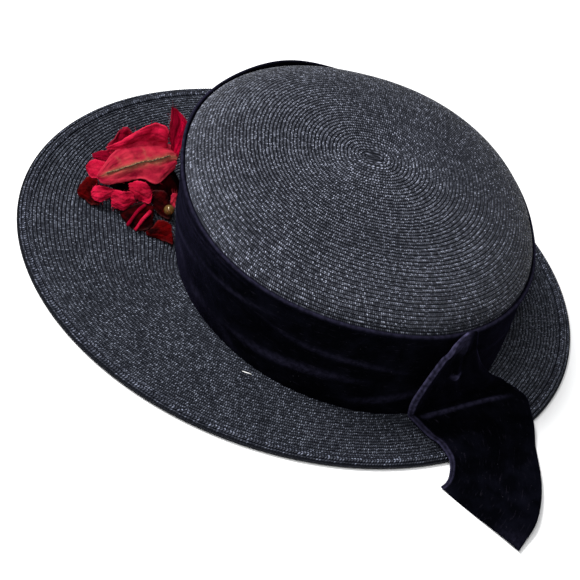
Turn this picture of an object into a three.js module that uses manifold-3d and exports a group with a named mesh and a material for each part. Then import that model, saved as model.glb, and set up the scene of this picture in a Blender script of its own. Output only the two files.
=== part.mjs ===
import * as THREE from 'three';
import { mergeVertices } from 'three/addons/utils/BufferGeometryUtils.js';
import Module from 'manifold-3d';

// Boater hat of sewn straw braid, millimetres, +Z up, the front of the hat towards -Y.
// The crown's base is centred on x = 0, y = 0 while the pieces are made.

// Driving dimensions
const GAP = 0.3;
const BAND_EASE = 0.45;
const STRAW = 1.8;
const BRIM_WIDTH = 286.6;
const BRIM_LENGTH = 324;
const BRIM_FORWARD = 22.9;
const BRIM_THICK = 2;
const EDGE_WIDTH = 8.2;
const CROWN_BASE_WIDTH = 201;
const CROWN_BASE_LENGTH = 189.5;
const CROWN_TOP_WIDTH = 196.5;
const CROWN_TOP_LENGTH = 195.5;
const CROWN_SQUARENESS = 2.2;
const CROWN_LEAN = 8;
const WALL_TOP = 59;
const DOME_HEIGHT = 32.5;
const DOME_FLATNESS = 3;
const DOME_ROUNDNESS = 1.4;
const VELVET = 1.5;
const RIBBON_THICK = 1.2;
const PETAL_THICK = 1;

// Roundness of the facets
const AROUND = 60;

// Finishes
const FINISHES = {
  straw: { color: 0x1b1e27, roughness: 0.42, metalness: 0 },
  edge: { color: 0x20232e, roughness: 0.32, metalness: 0 },
  velvet: { color: 0x0b0b18, roughness: 0.9, metalness: 0 },
  crimson: { color: 0x9c1a30, roughness: 0.85, metalness: 0 },
  faded: { color: 0xa83a3c, roughness: 0.9, metalness: 0 },
  dark: { color: 0x4a0716, roughness: 0.9, metalness: 0 },
  wire: { color: 0x6a4a2c, roughness: 0.6, metalness: 0 },
  amber: { color: 0xc07a1c, roughness: 0.15, metalness: 0 },
};

const wasm = await Module();
wasm.setup();

const hat = new THREE.Group();
hat.name = 'boater_hat';

const lerp = THREE.MathUtils.lerp;
const clamp = THREE.MathUtils.clamp;
const smooth = THREE.MathUtils.smoothstep;

function addPiece(name, geometry, finish) {
  geometry.computeVertexNormals();
  const material = new THREE.MeshStandardMaterial(FINISHES[finish]);
  const mesh = new THREE.Mesh(geometry, material);
  mesh.name = name;
  hat.add(mesh);
  return mesh;
}

function geometryOf(points, faces) {
  const geometry = new THREE.BufferGeometry();
  const flat = points.flatMap((p) => [p.x, p.y, p.z]);
  geometry.setAttribute('position', new THREE.Float32BufferAttribute(flat, 3));
  geometry.setIndex(faces.flat());
  return geometry;
}

// A body swept right round the hat: section(angle) gives the points of a closed outline
function sweptRing(section, count) {
  const points = [];
  const faces = [];
  let size = 0;
  for (let i = 0; i < count; i += 1) {
    const outline = section((2 * Math.PI * i) / count);
    size = outline.length;
    points.push(...outline);
  }
  for (let i = 0; i < count; i += 1) {
    const next = (i + 1) % count;
    for (let j = 0; j < size; j += 1) {
      const k = (j + 1) % size;
      const [a, b] = [i * size + j, next * size + j];
      const [c, d] = [next * size + k, i * size + k];
      faces.push([a, b, c], [a, c, d]);
    }
  }
  return geometryOf(points, faces);
}

// A shell with an open foot: two domed skins that are joined round the foot
function domedShell(outer, inner, outerPole, innerPole, count) {
  const rings = [...outer, ...inner];
  const points = [...rings.flat(), outerPole, innerPole];
  const faces = [];
  const at = (ring, i) => ring * count + (i % count);
  const last = outer.length - 1;
  const pole = rings.length * count;
  for (let i = 0; i < count; i += 1) {
    for (let ring = 0; ring < last; ring += 1) {
      faces.push([at(ring, i), at(ring, i + 1), at(ring + 1, i + 1)]);
      faces.push([at(ring, i), at(ring + 1, i + 1), at(ring + 1, i)]);
    }
    for (let ring = outer.length; ring < rings.length - 1; ring += 1) {
      faces.push([at(ring, i + 1), at(ring, i), at(ring + 1, i)]);
      faces.push([at(ring, i + 1), at(ring + 1, i), at(ring + 1, i + 1)]);
    }
    faces.push([at(last, i), at(last, i + 1), pole]);
    faces.push([at(rings.length - 1, i + 1), at(rings.length - 1, i), pole + 1]);
    faces.push([at(0, i + 1), at(0, i), at(outer.length, i)]);
    faces.push([at(0, i + 1), at(outer.length, i), at(outer.length, i + 1)]);
  }
  return geometryOf(points, faces);
}

// A sheet of cloth with a thickness, from a grid of points along and across it
function clothSheet(rows, thickness) {
  const across = rows[0].length;
  const along = rows.length;
  const normals = rows.map((row, i) => row.map((p, j) => {
    const ahead = rows[Math.min(i + 1, along - 1)][j].clone().sub(rows[Math.max(i - 1, 0)][j]);
    const side = row[Math.min(j + 1, across - 1)].clone().sub(row[Math.max(j - 1, 0)]);
    return ahead.cross(side).normalize();
  }));
  const skin = (sign) => rows.flatMap((row, i) => row.map((p, j) => (
    p.clone().addScaledVector(normals[i][j], (sign * thickness) / 2))));
  const points = [...skin(1), ...skin(-1)];
  const low = along * across;
  const faces = [];
  for (let i = 0; i < along - 1; i += 1) {
    for (let j = 0; j < across - 1; j += 1) {
      const [a, b] = [i * across + j, (i + 1) * across + j];
      faces.push([a, b, b + 1], [a, b + 1, a + 1]);
      faces.push([low + a, low + b + 1, low + b], [low + a, low + a + 1, low + b + 1]);
    }
  }
  const rim = [];
  for (let j = 0; j < across; j += 1) rim.push(j);
  for (let i = 1; i < along; i += 1) rim.push(i * across + across - 1);
  for (let j = across - 2; j >= 0; j -= 1) rim.push((along - 1) * across + j);
  for (let i = along - 2; i > 0; i -= 1) rim.push(i * across);
  rim.forEach((a, n) => {
    const b = rim[(n + 1) % rim.length];
    faces.push([a, b, low + b], [a, low + b, low + a]);
  });
  return geometryOf(points, faces);
}

// Cutting of one solid by others
function solidOf(geometry) {
  const bare = geometry.clone();
  bare.deleteAttribute('normal');
  bare.deleteAttribute('uv');
  const merged = mergeVertices(bare, 1e-4);
  return new wasm.Manifold(new wasm.Mesh({
    numProp: 3,
    vertProperties: new Float32Array(merged.attributes.position.array),
    triVerts: new Uint32Array(merged.index.array),
  }));
}

function geometryFromSolid(solid) {
  const mesh = solid.getMesh();
  const geometry = new THREE.BufferGeometry();
  geometry.setAttribute('position', new THREE.BufferAttribute(mesh.vertProperties, 3));
  geometry.setIndex(new THREE.BufferAttribute(mesh.triVerts, 1));
  return geometry;
}

// The largest connected part that is left when the cutters are taken away
function trimmed(geometry, cutters) {
  const left = cutters.reduce((body, cutter) => body.subtract(cutter), solidOf(geometry));
  const parts = left.decompose().sort((a, b) => b.volume() - a.volume());
  return geometryFromSolid(parts[0]);
}

// Plan of the crown's straw wall at a height, grown outwards by an offset
function squaredOval(angle, halfWidth, halfLength, squareness) {
  const c = Math.abs(Math.cos(angle)) ** squareness;
  const s = Math.abs(Math.sin(angle)) ** squareness;
  const reach = (c + s) ** (-1 / squareness);
  return [halfWidth * reach * Math.cos(angle), halfLength * reach * Math.sin(angle)];
}

function wallPoint(angle, z, offset) {
  const rise = clamp(z / WALL_TOP, 0, 1);
  const halfWidth = lerp(CROWN_BASE_WIDTH, CROWN_TOP_WIDTH, rise) / 2 + offset;
  const halfLength = lerp(CROWN_BASE_LENGTH, CROWN_TOP_LENGTH, rise) / 2 + offset;
  const squareness = lerp(2, CROWN_SQUARENESS, rise);
  const [x, y] = squaredOval(angle, halfWidth, halfLength, squareness);
  return new THREE.Vector3(x, y - CROWN_LEAN * rise, z);
}

// Point on the shoulder and tip: reach 1 is the wall and 0 the middle of the tip
function domePoint(angle, reach, offset) {
  const rise = (1 - reach ** DOME_FLATNESS) ** (1 / DOME_ROUNDNESS);
  const halfWidth = (CROWN_TOP_WIDTH / 2 + offset) * reach;
  const halfLength = (CROWN_TOP_LENGTH / 2 + offset) * reach;
  const [x, y] = squaredOval(angle, halfWidth, halfLength, CROWN_SQUARENESS);
  return new THREE.Vector3(x, y - CROWN_LEAN, WALL_TOP + (DOME_HEIGHT + offset) * rise);
}

function ringOf(point, count) {
  return Array.from({ length: count }, (_, i) => point((2 * Math.PI * i) / count));
}

// Crown
const crownFoot = BRIM_THICK + GAP;
const wallHeights = [crownFoot, 20, 40, WALL_TOP];
const outerReaches = [0.992, 0.965, 0.92, 0.85, 0.74, 0.58, 0.38, 0.18];
const innerReaches = [0.985, 0.94, 0.86, 0.72, 0.5, 0.25];
const crownSkin = (heights, reaches, offset) => [
  ...heights.map((z) => ringOf((a) => wallPoint(a, z, offset), AROUND)),
  ...reaches.map((r) => ringOf((a) => domePoint(a, r, offset), AROUND)),
];
const tipHeight = (offset) => WALL_TOP + DOME_HEIGHT + offset;
addPiece('crown', domedShell(
  crownSkin(wallHeights, outerReaches, 0),
  crownSkin([crownFoot, 30, WALL_TOP], innerReaches, -STRAW),
  new THREE.Vector3(0, -CROWN_LEAN, tipHeight(0)),
  new THREE.Vector3(0, -CROWN_LEAN, tipHeight(-STRAW)),
  AROUND,
), 'straw');

// Brim: a flat oval ring, from the head opening to the edge braid
function brimEdge(angle, inset, z) {
  const x = (BRIM_WIDTH / 2 - inset) * Math.cos(angle);
  const y = (BRIM_LENGTH / 2 - inset) * Math.sin(angle);
  return new THREE.Vector3(x, y - BRIM_FORWARD, z);
}

function brimPoint(angle, share, z) {
  const inner = wallPoint(angle, 0, -STRAW);
  const outer = brimEdge(angle, EDGE_WIDTH + GAP, 0);
  inner.lerp(outer, share);
  inner.z = z;
  return inner;
}

const brimOutline = (angle) => [
  brimPoint(angle, 0, 0),
  brimPoint(angle, 0.5, 0),
  brimPoint(angle, 1, 0),
  brimPoint(angle, 1, BRIM_THICK),
  brimPoint(angle, 0.5, BRIM_THICK),
  brimPoint(angle, 0, BRIM_THICK),
];
addPiece('brim', sweptRing(brimOutline, AROUND), 'straw');

// Edge braid: two raised rows and a thin row, as inset from the rim and height
const EDGE_SECTION = [
  { inset: 0.5, height: 0 },
  { inset: 0, height: 0.9 },
  { inset: 0.4, height: 2.2 },
  { inset: 1.9, height: 2.5 },
  { inset: 2.8, height: 3.5 },
  { inset: 4.3, height: 3.5 },
  { inset: 5.2, height: 2.5 },
  { inset: 6.2, height: 3.1 },
  { inset: 7.4, height: 3 },
  { inset: EDGE_WIDTH, height: 1.9 },
  { inset: EDGE_WIDTH, height: 0 },
];
const edgeOutline = (angle) => EDGE_SECTION.map((row) => brimEdge(angle, row.inset, row.height));
const edgeGeometry = sweptRing(edgeOutline, AROUND);
addPiece('brim_edge_braid', edgeGeometry, 'edge');

// Velvet band: outline of one section, bulging outwards over the near side's top roll
const degrees = THREE.MathUtils.degToRad;
const bump = (angle, centre, width) => {
  const turn = Math.atan2(Math.sin(angle - degrees(centre)), Math.cos(angle - degrees(centre)));
  return Math.exp(-((turn / degrees(width)) ** 2));
};
const nearRoll = (angle) => bump(angle, 12, 26);
const farFold = (angle) => bump(angle, 201, 20);

function bandBulge(angle, z) {
  const low = 1 - smooth(z, crownFoot, 34);
  const creases = 0.5 * Math.sin(5 * angle + z / 11) + 0.35 * Math.sin(9 * angle - z / 7);
  return 0.6 + creases * 0.6 + low * (0.7 + 1.5 * bump(angle, 20, 60));
}

function bandOutline(angle) {
  const foot = BRIM_THICK + GAP;
  const top = WALL_TOP + 0.6 + 3.5 * farFold(angle);
  const flare = 3.4 * farFold(angle) + 1.3 * nearRoll(angle);
  const out = (z, extra) => wallPoint(angle, z, BAND_EASE + VELVET + bandBulge(angle, z) + extra);
  const lifted = (z, offset) => wallPoint(angle, Math.min(z, WALL_TOP), offset).setZ(z);
  return [
    wallPoint(angle, foot, BAND_EASE),
    out(foot, 0.2),
    out(6, 0.1),
    out(18, 0),
    out(30, -0.2),
    out(42, 0),
    lifted(top - 7, BAND_EASE + VELVET + 0.5 + flare * 0.5),
    lifted(top - 3, BAND_EASE + VELVET + 1.2 + flare),
    lifted(top - 0.6, BAND_EASE + VELVET + 0.9 + flare),
    lifted(top, BAND_EASE + VELVET * 0.6 + flare * 0.8),
    lifted(top - 1.4, BAND_EASE + flare * 0.6),
    lifted(top - 9, BAND_EASE + flare * 0.12),
    wallPoint(angle, 28, BAND_EASE),
  ];
}
const bandGeometry = sweptRing(bandOutline, AROUND);
addPiece('hat_band', bandGeometry, 'velvet');

// Ribbon tail: places of its two edges from the pinch at the band's top to the slanted cut
const TAIL_STATIONS = [
  { name: 'pinch', left: [92, 41, 61.5], right: [90, 47, 61] },
  { name: 'under_pinch', left: [96, 36.5, 49], right: [87, 54, 47] },
  { name: 'fan', left: [99.5, 32.5, 33], right: [82, 64, 31] },
  { name: 'low_fan', left: [102.5, 29.5, 15], right: [74, 78, 16] },
  { name: 'crease', left: [103, 30, 6], right: [67, 91, 6] },
  { name: 'on_brim', left: [110, 37, 3.2], right: [71, 100, 3.2] },
  { name: 'brim_edge', left: [121, 47, 3.2], right: [90, 103, 3.2] },
  { name: 'off_brim', left: [131, 51, 3.2], right: [112, 104, 3.2] },
  { name: 'spread', left: [138, 51, 3.2], right: [136, 103, 3.2] },
  { name: 'near_cut', left: [141.5, 49.5, 3.2], right: [158, 97, 3.2] },
  { name: 'slanted_cut', left: [144, 47, 3.2], right: [176, 86, 3.2] },
];
const TAIL_ROWS = 26;
const TAIL_ACROSS = [0, 0.05, 0.1, 0.22, 0.38, 0.54, 0.7, 0.85, 1];

const edgeCurve = (side) => new THREE.CatmullRomCurve3(
  TAIL_STATIONS.map((station) => new THREE.Vector3(...station[side])), false, 'centripetal');
const leftEdge = edgeCurve('left');
const rightEdge = edgeCurve('right');

// How far a point lies outside the brim's rim, in millimetres, negative on the brim
function outsideBrim(x, y) {
  const reach = Math.hypot(x / (BRIM_WIDTH / 2), (y + BRIM_FORWARD) / (BRIM_LENGTH / 2));
  return (reach - 1) * 0.5 * (BRIM_WIDTH / 2 + BRIM_LENGTH / 2);
}

// Height of the lower face of cloth that lies over the brim, its edge braid and the surface
function lieHeight(x, y) {
  const out = outsideBrim(x, y);
  const onEdge = smooth(out, -EDGE_WIDTH - 9, -EDGE_WIDTH);
  const down = 1 - smooth(out, 0.5, 13);
  return down * (BRIM_THICK + GAP + 2 * onEdge);
}

// Moves a point out until it clears the band by a distance
function clearOfBand(point, distance) {
  if (point.z > WALL_TOP + 8) return point;
  const rise = clamp(point.z / WALL_TOP, 0, 1);
  const angle = Math.atan2(point.y + CROWN_LEAN * rise, point.x);
  const top = BAND_EASE + VELVET + 2.6 + 1.4 * nearRoll(angle) + 3.6 * farFold(angle);
  const low = BAND_EASE + VELVET + bandBulge(angle, point.z) + 0.4;
  const limit = wallPoint(angle, Math.min(point.z, WALL_TOP), distance
    + lerp(low, top, smooth(point.z, 40, 54)));
  const centre = -CROWN_LEAN * rise;
  const have = Math.hypot(point.x, point.y - centre);
  const need = Math.hypot(limit.x, limit.y - centre);
  if (have < need) {
    point.x *= need / have;
    point.y = centre + (point.y - centre) * (need / have);
  }
  return point;
}

function tailPoint(along, across) {
  const left = leftEdge.getPoint(along);
  const right = rightEdge.getPoint(along);
  const point = left.clone().lerp(right, across);
  const fanned = 1 - smooth(along, 0.32, 0.45);
  const fold = Math.sin(Math.PI * across);
  point.z += fanned * (3 * fold * Math.sin(3 * Math.PI * across) * along);
  const wave = 1.4 * Math.sin(2 * Math.PI * across + 9 * along) * smooth(along, 0.4, 0.55);
  const free = 1 - smooth(along, 0.9, 1) * 0.6;
  const half = RIBBON_THICK / 2;
  clearOfBand(point, half + GAP);
  const floor = lieHeight(point.x, point.y) + half;
  const roll = across < 0.12 ? 1.3 * Math.sin((Math.PI * across) / 0.11) : 0;
  const lying = smooth(along, 0.36, 0.47);
  const lifted = floor + (1 + wave) * 0.9 * free * lying;
  point.z = Math.max(lerp(point.z, lifted, lying), floor) + roll * smooth(along, 0.1, 0.3);
  return point;
}

const tailRows = Array.from({ length: TAIL_ROWS }, (_, i) => (
  TAIL_ACROSS.map((across) => tailPoint(i / (TAIL_ROWS - 1), across))));
const tailGeometry = clothSheet(tailRows, RIBBON_THICK);
addPiece('ribbon_tail', tailGeometry, 'velvet');

// Flower heart: a gathered mound that stands on the brim in front of the band
const HEART = { x: -35, y: -121, halfWidth: 13, halfLength: 17, height: 17.7 };
const HEART_AROUND = 22;

function heartGeometry(grow) {
  const sunk = grow > 0 ? 1 : 0;
  const foot = BRIM_THICK + GAP - sunk;
  const height = HEART.height + grow + sunk;
  const ring = (level) => ringOf((angle) => {
    const shrink = Math.cos(level * 1.35);
    const pleat = 1 + 0.07 * Math.sin(7 * angle) * (1 - level);
    return new THREE.Vector3(
      HEART.x + (HEART.halfWidth + grow) * shrink * pleat * Math.cos(angle),
      HEART.y + (HEART.halfLength + grow) * shrink * pleat * Math.sin(angle),
      foot + height * Math.sin(level * 1.35),
    );
  }, HEART_AROUND);
  const rings = [0, 0.25, 0.5, 0.75, 0.95].map(ring);
  const points = [...rings.flat(),
    new THREE.Vector3(HEART.x, HEART.y, foot + height),
    new THREE.Vector3(HEART.x, HEART.y, foot)];
  const faces = [];
  const pole = rings.length * HEART_AROUND;
  for (let i = 0; i < HEART_AROUND; i += 1) {
    const j = (i + 1) % HEART_AROUND;
    for (let r = 0; r < rings.length - 1; r += 1) {
      const [a, b] = [r * HEART_AROUND, (r + 1) * HEART_AROUND];
      faces.push([a + i, a + j, b + j], [a + i, b + j, b + i]);
    }
    faces.push([pole - HEART_AROUND + i, pole - HEART_AROUND + j, pole], [j, i, pole + 1]);
  }
  return geometryOf(points, faces);
}
addPiece('flower_heart', heartGeometry(0), 'dark');

// Petals: stations along each one, as [x, y, z] of its far edge and of its near edge
const PETALS = [
  { name: 'vein_petal', finish: 'faded', arch: 3, wave: 0.5, stations: [
    { far: [-15.5, -146, 17], near: [-14.5, -145.5, 16.5] },
    { far: [-24, -143, 19], near: [-12.5, -142, 15.5] },
    { far: [-33, -139, 20], near: [-14.5, -136, 15] },
    { far: [-40, -133, 21], near: [-20, -127.5, 15] },
    { far: [-45, -124.5, 22], near: [-22.5, -120.5, 15.5] },
    { far: [-48.5, -115, 23], near: [-22, -113, 15] },
    { far: [-48.5, -107.5, 23], near: [-30, -106.5, 17] },
    { far: [-44.5, -102.5, 22], near: [-36, -102, 19] },
  ] },
  { name: 'back_petal_left', finish: 'dark', arch: 1, wave: 0.4, stations: [
    { far: [-40, -142, 19], near: [-37, -141, 14] },
    { far: [-44, -139, 22], near: [-38, -138, 10] },
    { far: [-48.5, -137, 25], near: [-39, -134.5, 9] },
    { far: [-49, -135.5, 27], near: [-40, -131.5, 9] },
    { far: [-49.5, -132.5, 27], near: [-41, -129, 10] },
    { far: [-48, -129, 25], near: [-42, -127, 14] },
  ] },
  { name: 'back_petal_right', finish: 'crimson', arch: 1.5, wave: 0.5, stations: [
    { far: [-36.5, -143.5, 21], near: [-36.5, -141, 18] },
    { far: [-39, -137.5, 24], near: [-36, -136.5, 16] },
    { far: [-42, -132, 27], near: [-39, -130.5, 15] },
    { far: [-46, -127, 30], near: [-42, -124.5, 14] },
    { far: [-48.5, -121.5, 33], near: [-44, -118, 13] },
    { far: [-49.5, -117.5, 35], near: [-45.5, -113, 13] },
    { far: [-47.5, -112, 35], near: [-46, -109, 15] },
    { far: [-46.5, -110, 31], near: [-46, -108, 20] },
  ] },
  { name: 'upright_petal', finish: 'dark', arch: 1, wave: 0.3, stations: [
    { far: [-44.5, -107, 10], near: [-41, -102.5, 10] },
    { far: [-46, -107.5, 24], near: [-42.5, -102, 24] },
    { far: [-47, -109.5, 29], near: [-45, -101.5, 29] },
    { far: [-48.5, -110.5, 34], near: [-46.5, -101.5, 35] },
    { far: [-50, -111, 40], near: [-48.5, -101.5, 40] },
    { far: [-51, -112, 44], near: [-49.5, -105, 44] },
    { far: [-51.5, -112.5, 47], near: [-51, -110, 47] },
  ] },
  { name: 'side_petal', finish: 'dark', arch: 1, wave: 0.4, stations: [
    { far: [-37, -149.5, 14], near: [-34.5, -148.5, 13] },
    { far: [-37.5, -146, 16], near: [-32.5, -144, 14] },
    { far: [-38, -140.5, 18], near: [-33, -139, 15] },
    { far: [-40.5, -135.5, 19], near: [-34.5, -135, 17] },
  ] },
  { name: 'outer_petal', finish: 'crimson', arch: 2, wave: 0.4, stations: [
    { far: [-29, -151.5, 12], near: [-26, -151, 11] },
    { far: [-30.5, -149.5, 14], near: [-21, -148, 11] },
    { far: [-30.5, -146, 15.5], near: [-19, -144.5, 12.5] },
    { far: [-29.5, -142, 17], near: [-17.5, -141.5, 14] },
  ] },
  { name: 'corner_petal', finish: 'dark', arch: 1.5, wave: 0.4, stations: [
    { far: [-16, -154, 4], near: [-12.5, -153.5, 3.5] },
    { far: [-19, -152.5, 7], near: [-11, -149.5, 3] },
    { far: [-23, -148.5, 10], near: [-8, -145.5, 3] },
    { far: [-20.5, -144.5, 12], near: [-8, -141, 3] },
  ] },
  { name: 'low_petal_left', finish: 'crimson', arch: 1.5, wave: 0.3, stations: [
    { far: [-11, -147, 9], near: [-10, -146, 7] },
    { far: [-13, -146, 12], near: [-7, -143.5, 7] },
    { far: [-13.5, -143, 13], near: [-6.5, -141, 8] },
    { far: [-13, -139, 13], near: [-9.5, -137.5, 9] },
    { far: [-13, -136, 13], near: [-10.5, -135, 10] },
  ] },
  { name: 'low_petal_middle', finish: 'crimson', arch: 1.5, wave: 0.4, stations: [
    { far: [-13, -137.5, 12.5], near: [-6, -135, 6] },
    { far: [-13, -133.5, 13], near: [-6.5, -131.5, 5.5] },
    { far: [-12.5, -129.5, 13], near: [-6.5, -127.5, 5] },
    { far: [-13.5, -126.5, 13], near: [-9.5, -124, 7] },
    { far: [-12.5, -123.5, 11.5], near: [-10.5, -122.5, 9] },
  ] },
  { name: 'low_petal_right', finish: 'crimson', arch: 2, wave: 0.6, stations: [
    { far: [-18.5, -128, 14], near: [-15.5, -126, 11] },
    { far: [-19.5, -125, 15.5], near: [-13, -122, 10] },
    { far: [-20, -122, 16], near: [-12, -118.5, 9] },
    { far: [-20, -117.5, 15], near: [-11, -115, 9] },
    { far: [-18.5, -114.5, 13], near: [-15, -114, 11] },
  ] },
  { name: 'inner_petal', finish: 'dark', arch: 1, wave: 0.5, stations: [
    { far: [-19, -114.5, 11.5], near: [-12, -112, 6.5] },
    { far: [-20.5, -111, 12], near: [-8, -106, 5] },
    { far: [-20.5, -107, 12], near: [-7, -102.5, 5] },
    { far: [-19, -104.5, 11], near: [-10.5, -101.5, 6.5] },
  ] },
  { name: 'under_petal', finish: 'dark', arch: 1.5, wave: 0.5, stations: [
    { far: [-6, -129.5, 4], near: [-5, -129, 3] },
    { far: [-7.5, -126, 6.5], near: [2, -124, 3] },
    { far: [-10, -121.5, 8], near: [5.5, -119.5, 3] },
    { far: [-12, -116.5, 8.5], near: [4, -114.5, 3.5] },
    { far: [-11.5, -112, 9], near: [0.5, -110.5, 4] },
  ] },
  { name: 'edge_petal', finish: 'dark', arch: 1.5, wave: 0.4, stations: [
    { far: [6, -114.5, 4], near: [7, -114, 3] },
    { far: [3.5, -111, 6.5], near: [8, -108.5, 3] },
    { far: [1, -108.5, 9.5], near: [9.5, -105, 3.5] },
    { far: [0.5, -104.5, 9.5], near: [11, -101.5, 4] },
    { far: [1, -101.5, 9], near: [12, -99, 5] },
  ] },
  { name: 'pale_petal', finish: 'faded', arch: 0.8, wave: 0.2, stations: [
    { far: [-16, -103.5, 14], near: [-13.5, -103, 11] },
    { far: [-17.5, -102, 15], near: [-12, -101, 10.5] },
    { far: [-17, -100.5, 15], near: [-11, -99.5, 11] },
  ] },
];
const PETAL_ROWS = 8;
const PETAL_ACROSS = [-1, -0.6, -0.2, 0.2, 0.6, 1];
const BULGE_TOWARDS = new THREE.Vector3(0.7, -0.2, 0.7);

function petalRows(petal, grow) {
  const curve = (edge) => new THREE.CatmullRomCurve3(
    petal.stations.map((station) => new THREE.Vector3(...station[edge])), false, 'centripetal');
  const [farEdge, nearEdge] = [curve('far'), curve('near')];
  const middleAt = (u) => farEdge.getPoint(u).lerp(nearEdge.getPoint(u), 0.5);
  return Array.from({ length: PETAL_ROWS }, (_, i) => {
    const u = i / (PETAL_ROWS - 1);
    const [far, near] = [farEdge.getPoint(u), nearEdge.getPoint(u)];
    const forward = middleAt(Math.min(u + 0.08, 1)).sub(middleAt(Math.max(u - 0.08, 0))).normalize();
    const side = near.clone().sub(far);
    const up = side.clone().cross(forward).normalize();
    if (up.dot(BULGE_TOWARDS) < 0) up.negate();
    const outwards = forward.clone().multiplyScalar(i === 0 ? -grow : 0);
    if (i === PETAL_ROWS - 1) outwards.copy(forward).multiplyScalar(grow);
    const wider = side.clone().normalize().multiplyScalar(grow);
    return PETAL_ACROSS.map((v) => {
      const lift = petal.arch * (1 - v * v) * Math.sin(Math.PI * (0.1 + 0.8 * u))
        + petal.wave * Math.sin(7 * u + 2.5 * v) * Math.abs(v);
      const point = far.clone().lerp(near, (v + 1) / 2).addScaledVector(up, lift)
        .addScaledVector(wider, v).add(outwards);
      clearOfBand(point, PETAL_THICK);
      point.z = Math.max(point.z, BRIM_THICK + GAP + PETAL_THICK * 0.6);
      return point;
    });
  });
}

// Bead between the low petals and the band
const BEAD = { centre: [-10.5, -103, 8.3], radius: 3 };

function beadGeometry(grow) {
  const bead = new THREE.SphereGeometry(BEAD.radius + grow, 12, 8);
  return bead.translate(...BEAD.centre);
}
addPiece('flower_bead', geometryFromSolid(solidOf(beadGeometry(0))), 'amber');

// Each petal stops short of the heart, the bead and the petals that are already in place
const CLEAR = GAP + 0.25;
const inPlace = [solidOf(heartGeometry(1.5 * CLEAR)), solidOf(beadGeometry(CLEAR))];
PETALS.forEach((petal) => {
  const sheet = clothSheet(petalRows(petal, 0), PETAL_THICK);
  addPiece(petal.name, trimmed(sheet, inPlace), petal.finish);
  inPlace.push(solidOf(clothSheet(petalRows(petal, CLEAR), PETAL_THICK + 2 * CLEAR)));
});

// Curled strips under the low petals, and the wire along the vein
function bentRod(path, radius, sides, steps) {
  const curve = new THREE.CatmullRomCurve3(path.map((p) => new THREE.Vector3(...p)));
  const outline = new THREE.Shape();
  for (let i = 0; i < sides; i += 1) {
    const angle = (2 * Math.PI * i) / sides;
    const [x, y] = [radius * Math.cos(angle), radius * Math.sin(angle)];
    if (i === 0) outline.moveTo(x, y);
    else outline.lineTo(x, y);
  }
  outline.closePath();
  return new THREE.ExtrudeGeometry(outline, { steps, extrudePath: curve, bevelEnabled: false });
}

const STRIPS = [
  { name: 'curled_strip_left',
    path: [[-8, -117, 10.6], [-3.5, -120.5, 9.4], [2.5, -124, 5.4], [4.5, -125.2, 3.3]] },
  { name: 'curled_strip_right',
    path: [[-4.3, -113.7, 10], [1.2, -117.4, 7.7], [5.5, -119.8, 5], [7.5, -121, 3.3]] },
];
STRIPS.forEach((strip) => {
  const rod = bentRod(strip.path, 1.2, 7, 8);
  addPiece(strip.name, trimmed(rod, inPlace), 'crimson');
});

// Vein wire, laid just above the vein petal: share of the way from its far to its near edge
const VEIN_SHARES = [0.6, 0.66, 0.69, 0.65, 0.51, 0.49];
const veinPetal = petalRows(PETALS[0], 0);
const veinPath = VEIN_SHARES.map((share, i) => {
  const row = veinPetal[i + 1];
  const place = share * (row.length - 1);
  const point = row[Math.floor(place)].clone().lerp(row[Math.ceil(place)], place % 1);
  return [point.x, point.y, point.z + PETAL_THICK / 2 + 1.1];
});
addPiece('vein_wire', bentRod(veinPath, 0.55, 6, 14), 'wire');

// The part's origin is the middle of its underside
const box = new THREE.Box3().setFromObject(hat);
const middle = box.getCenter(new THREE.Vector3());
hat.position.set(-middle.x, -middle.y, -box.min.z);
hat.updateMatrixWorld(true);

export default hat;
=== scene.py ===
# %% [markdown]
# # A boater hat of sewn straw braid
#
# The hat is one long dark straw braid, sewn round and round on itself. It winds from an
# oval start in the middle of the tip, over the shoulder and down the wall, and then out
# over a flat brim that is wider in front than behind. A velvet ribbon goes round the
# crown, one end of it hangs down over the brim, and a crimson cloth flower sits in front.
#
# The CAD model gives every size. This lesson dresses it: each piece below is a surface
# worked out with numpy in the hat's own millimetres, and put where its CAD solid stands.

import bmesh
import bpy
import numpy as np
from mathutils import Matrix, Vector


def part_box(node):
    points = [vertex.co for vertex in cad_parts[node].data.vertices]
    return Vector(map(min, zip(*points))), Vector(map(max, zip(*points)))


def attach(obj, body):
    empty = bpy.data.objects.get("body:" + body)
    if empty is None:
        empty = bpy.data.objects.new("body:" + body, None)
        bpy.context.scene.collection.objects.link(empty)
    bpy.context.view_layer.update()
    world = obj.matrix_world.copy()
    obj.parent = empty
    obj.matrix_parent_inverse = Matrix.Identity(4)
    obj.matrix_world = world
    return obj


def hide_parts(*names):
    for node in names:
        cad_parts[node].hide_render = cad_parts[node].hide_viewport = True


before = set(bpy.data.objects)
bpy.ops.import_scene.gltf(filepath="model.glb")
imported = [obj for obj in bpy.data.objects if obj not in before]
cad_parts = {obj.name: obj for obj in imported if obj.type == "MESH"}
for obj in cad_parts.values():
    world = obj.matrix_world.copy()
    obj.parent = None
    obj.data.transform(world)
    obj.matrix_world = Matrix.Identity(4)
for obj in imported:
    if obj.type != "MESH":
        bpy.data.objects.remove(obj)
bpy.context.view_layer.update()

# %% [markdown]
# ## Sizes and the hat's own frame
#
# While it is made, the hat stands on z = 0 with the middle of the crown's foot at
# x = 0, y = 0, and its front towards -Y. The part's frame is only shifted from that, so
# one addition takes a point from the workbench to its place. The shift is read from the
# box of the brim's edge, whose middle lies forward of the crown's.

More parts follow.
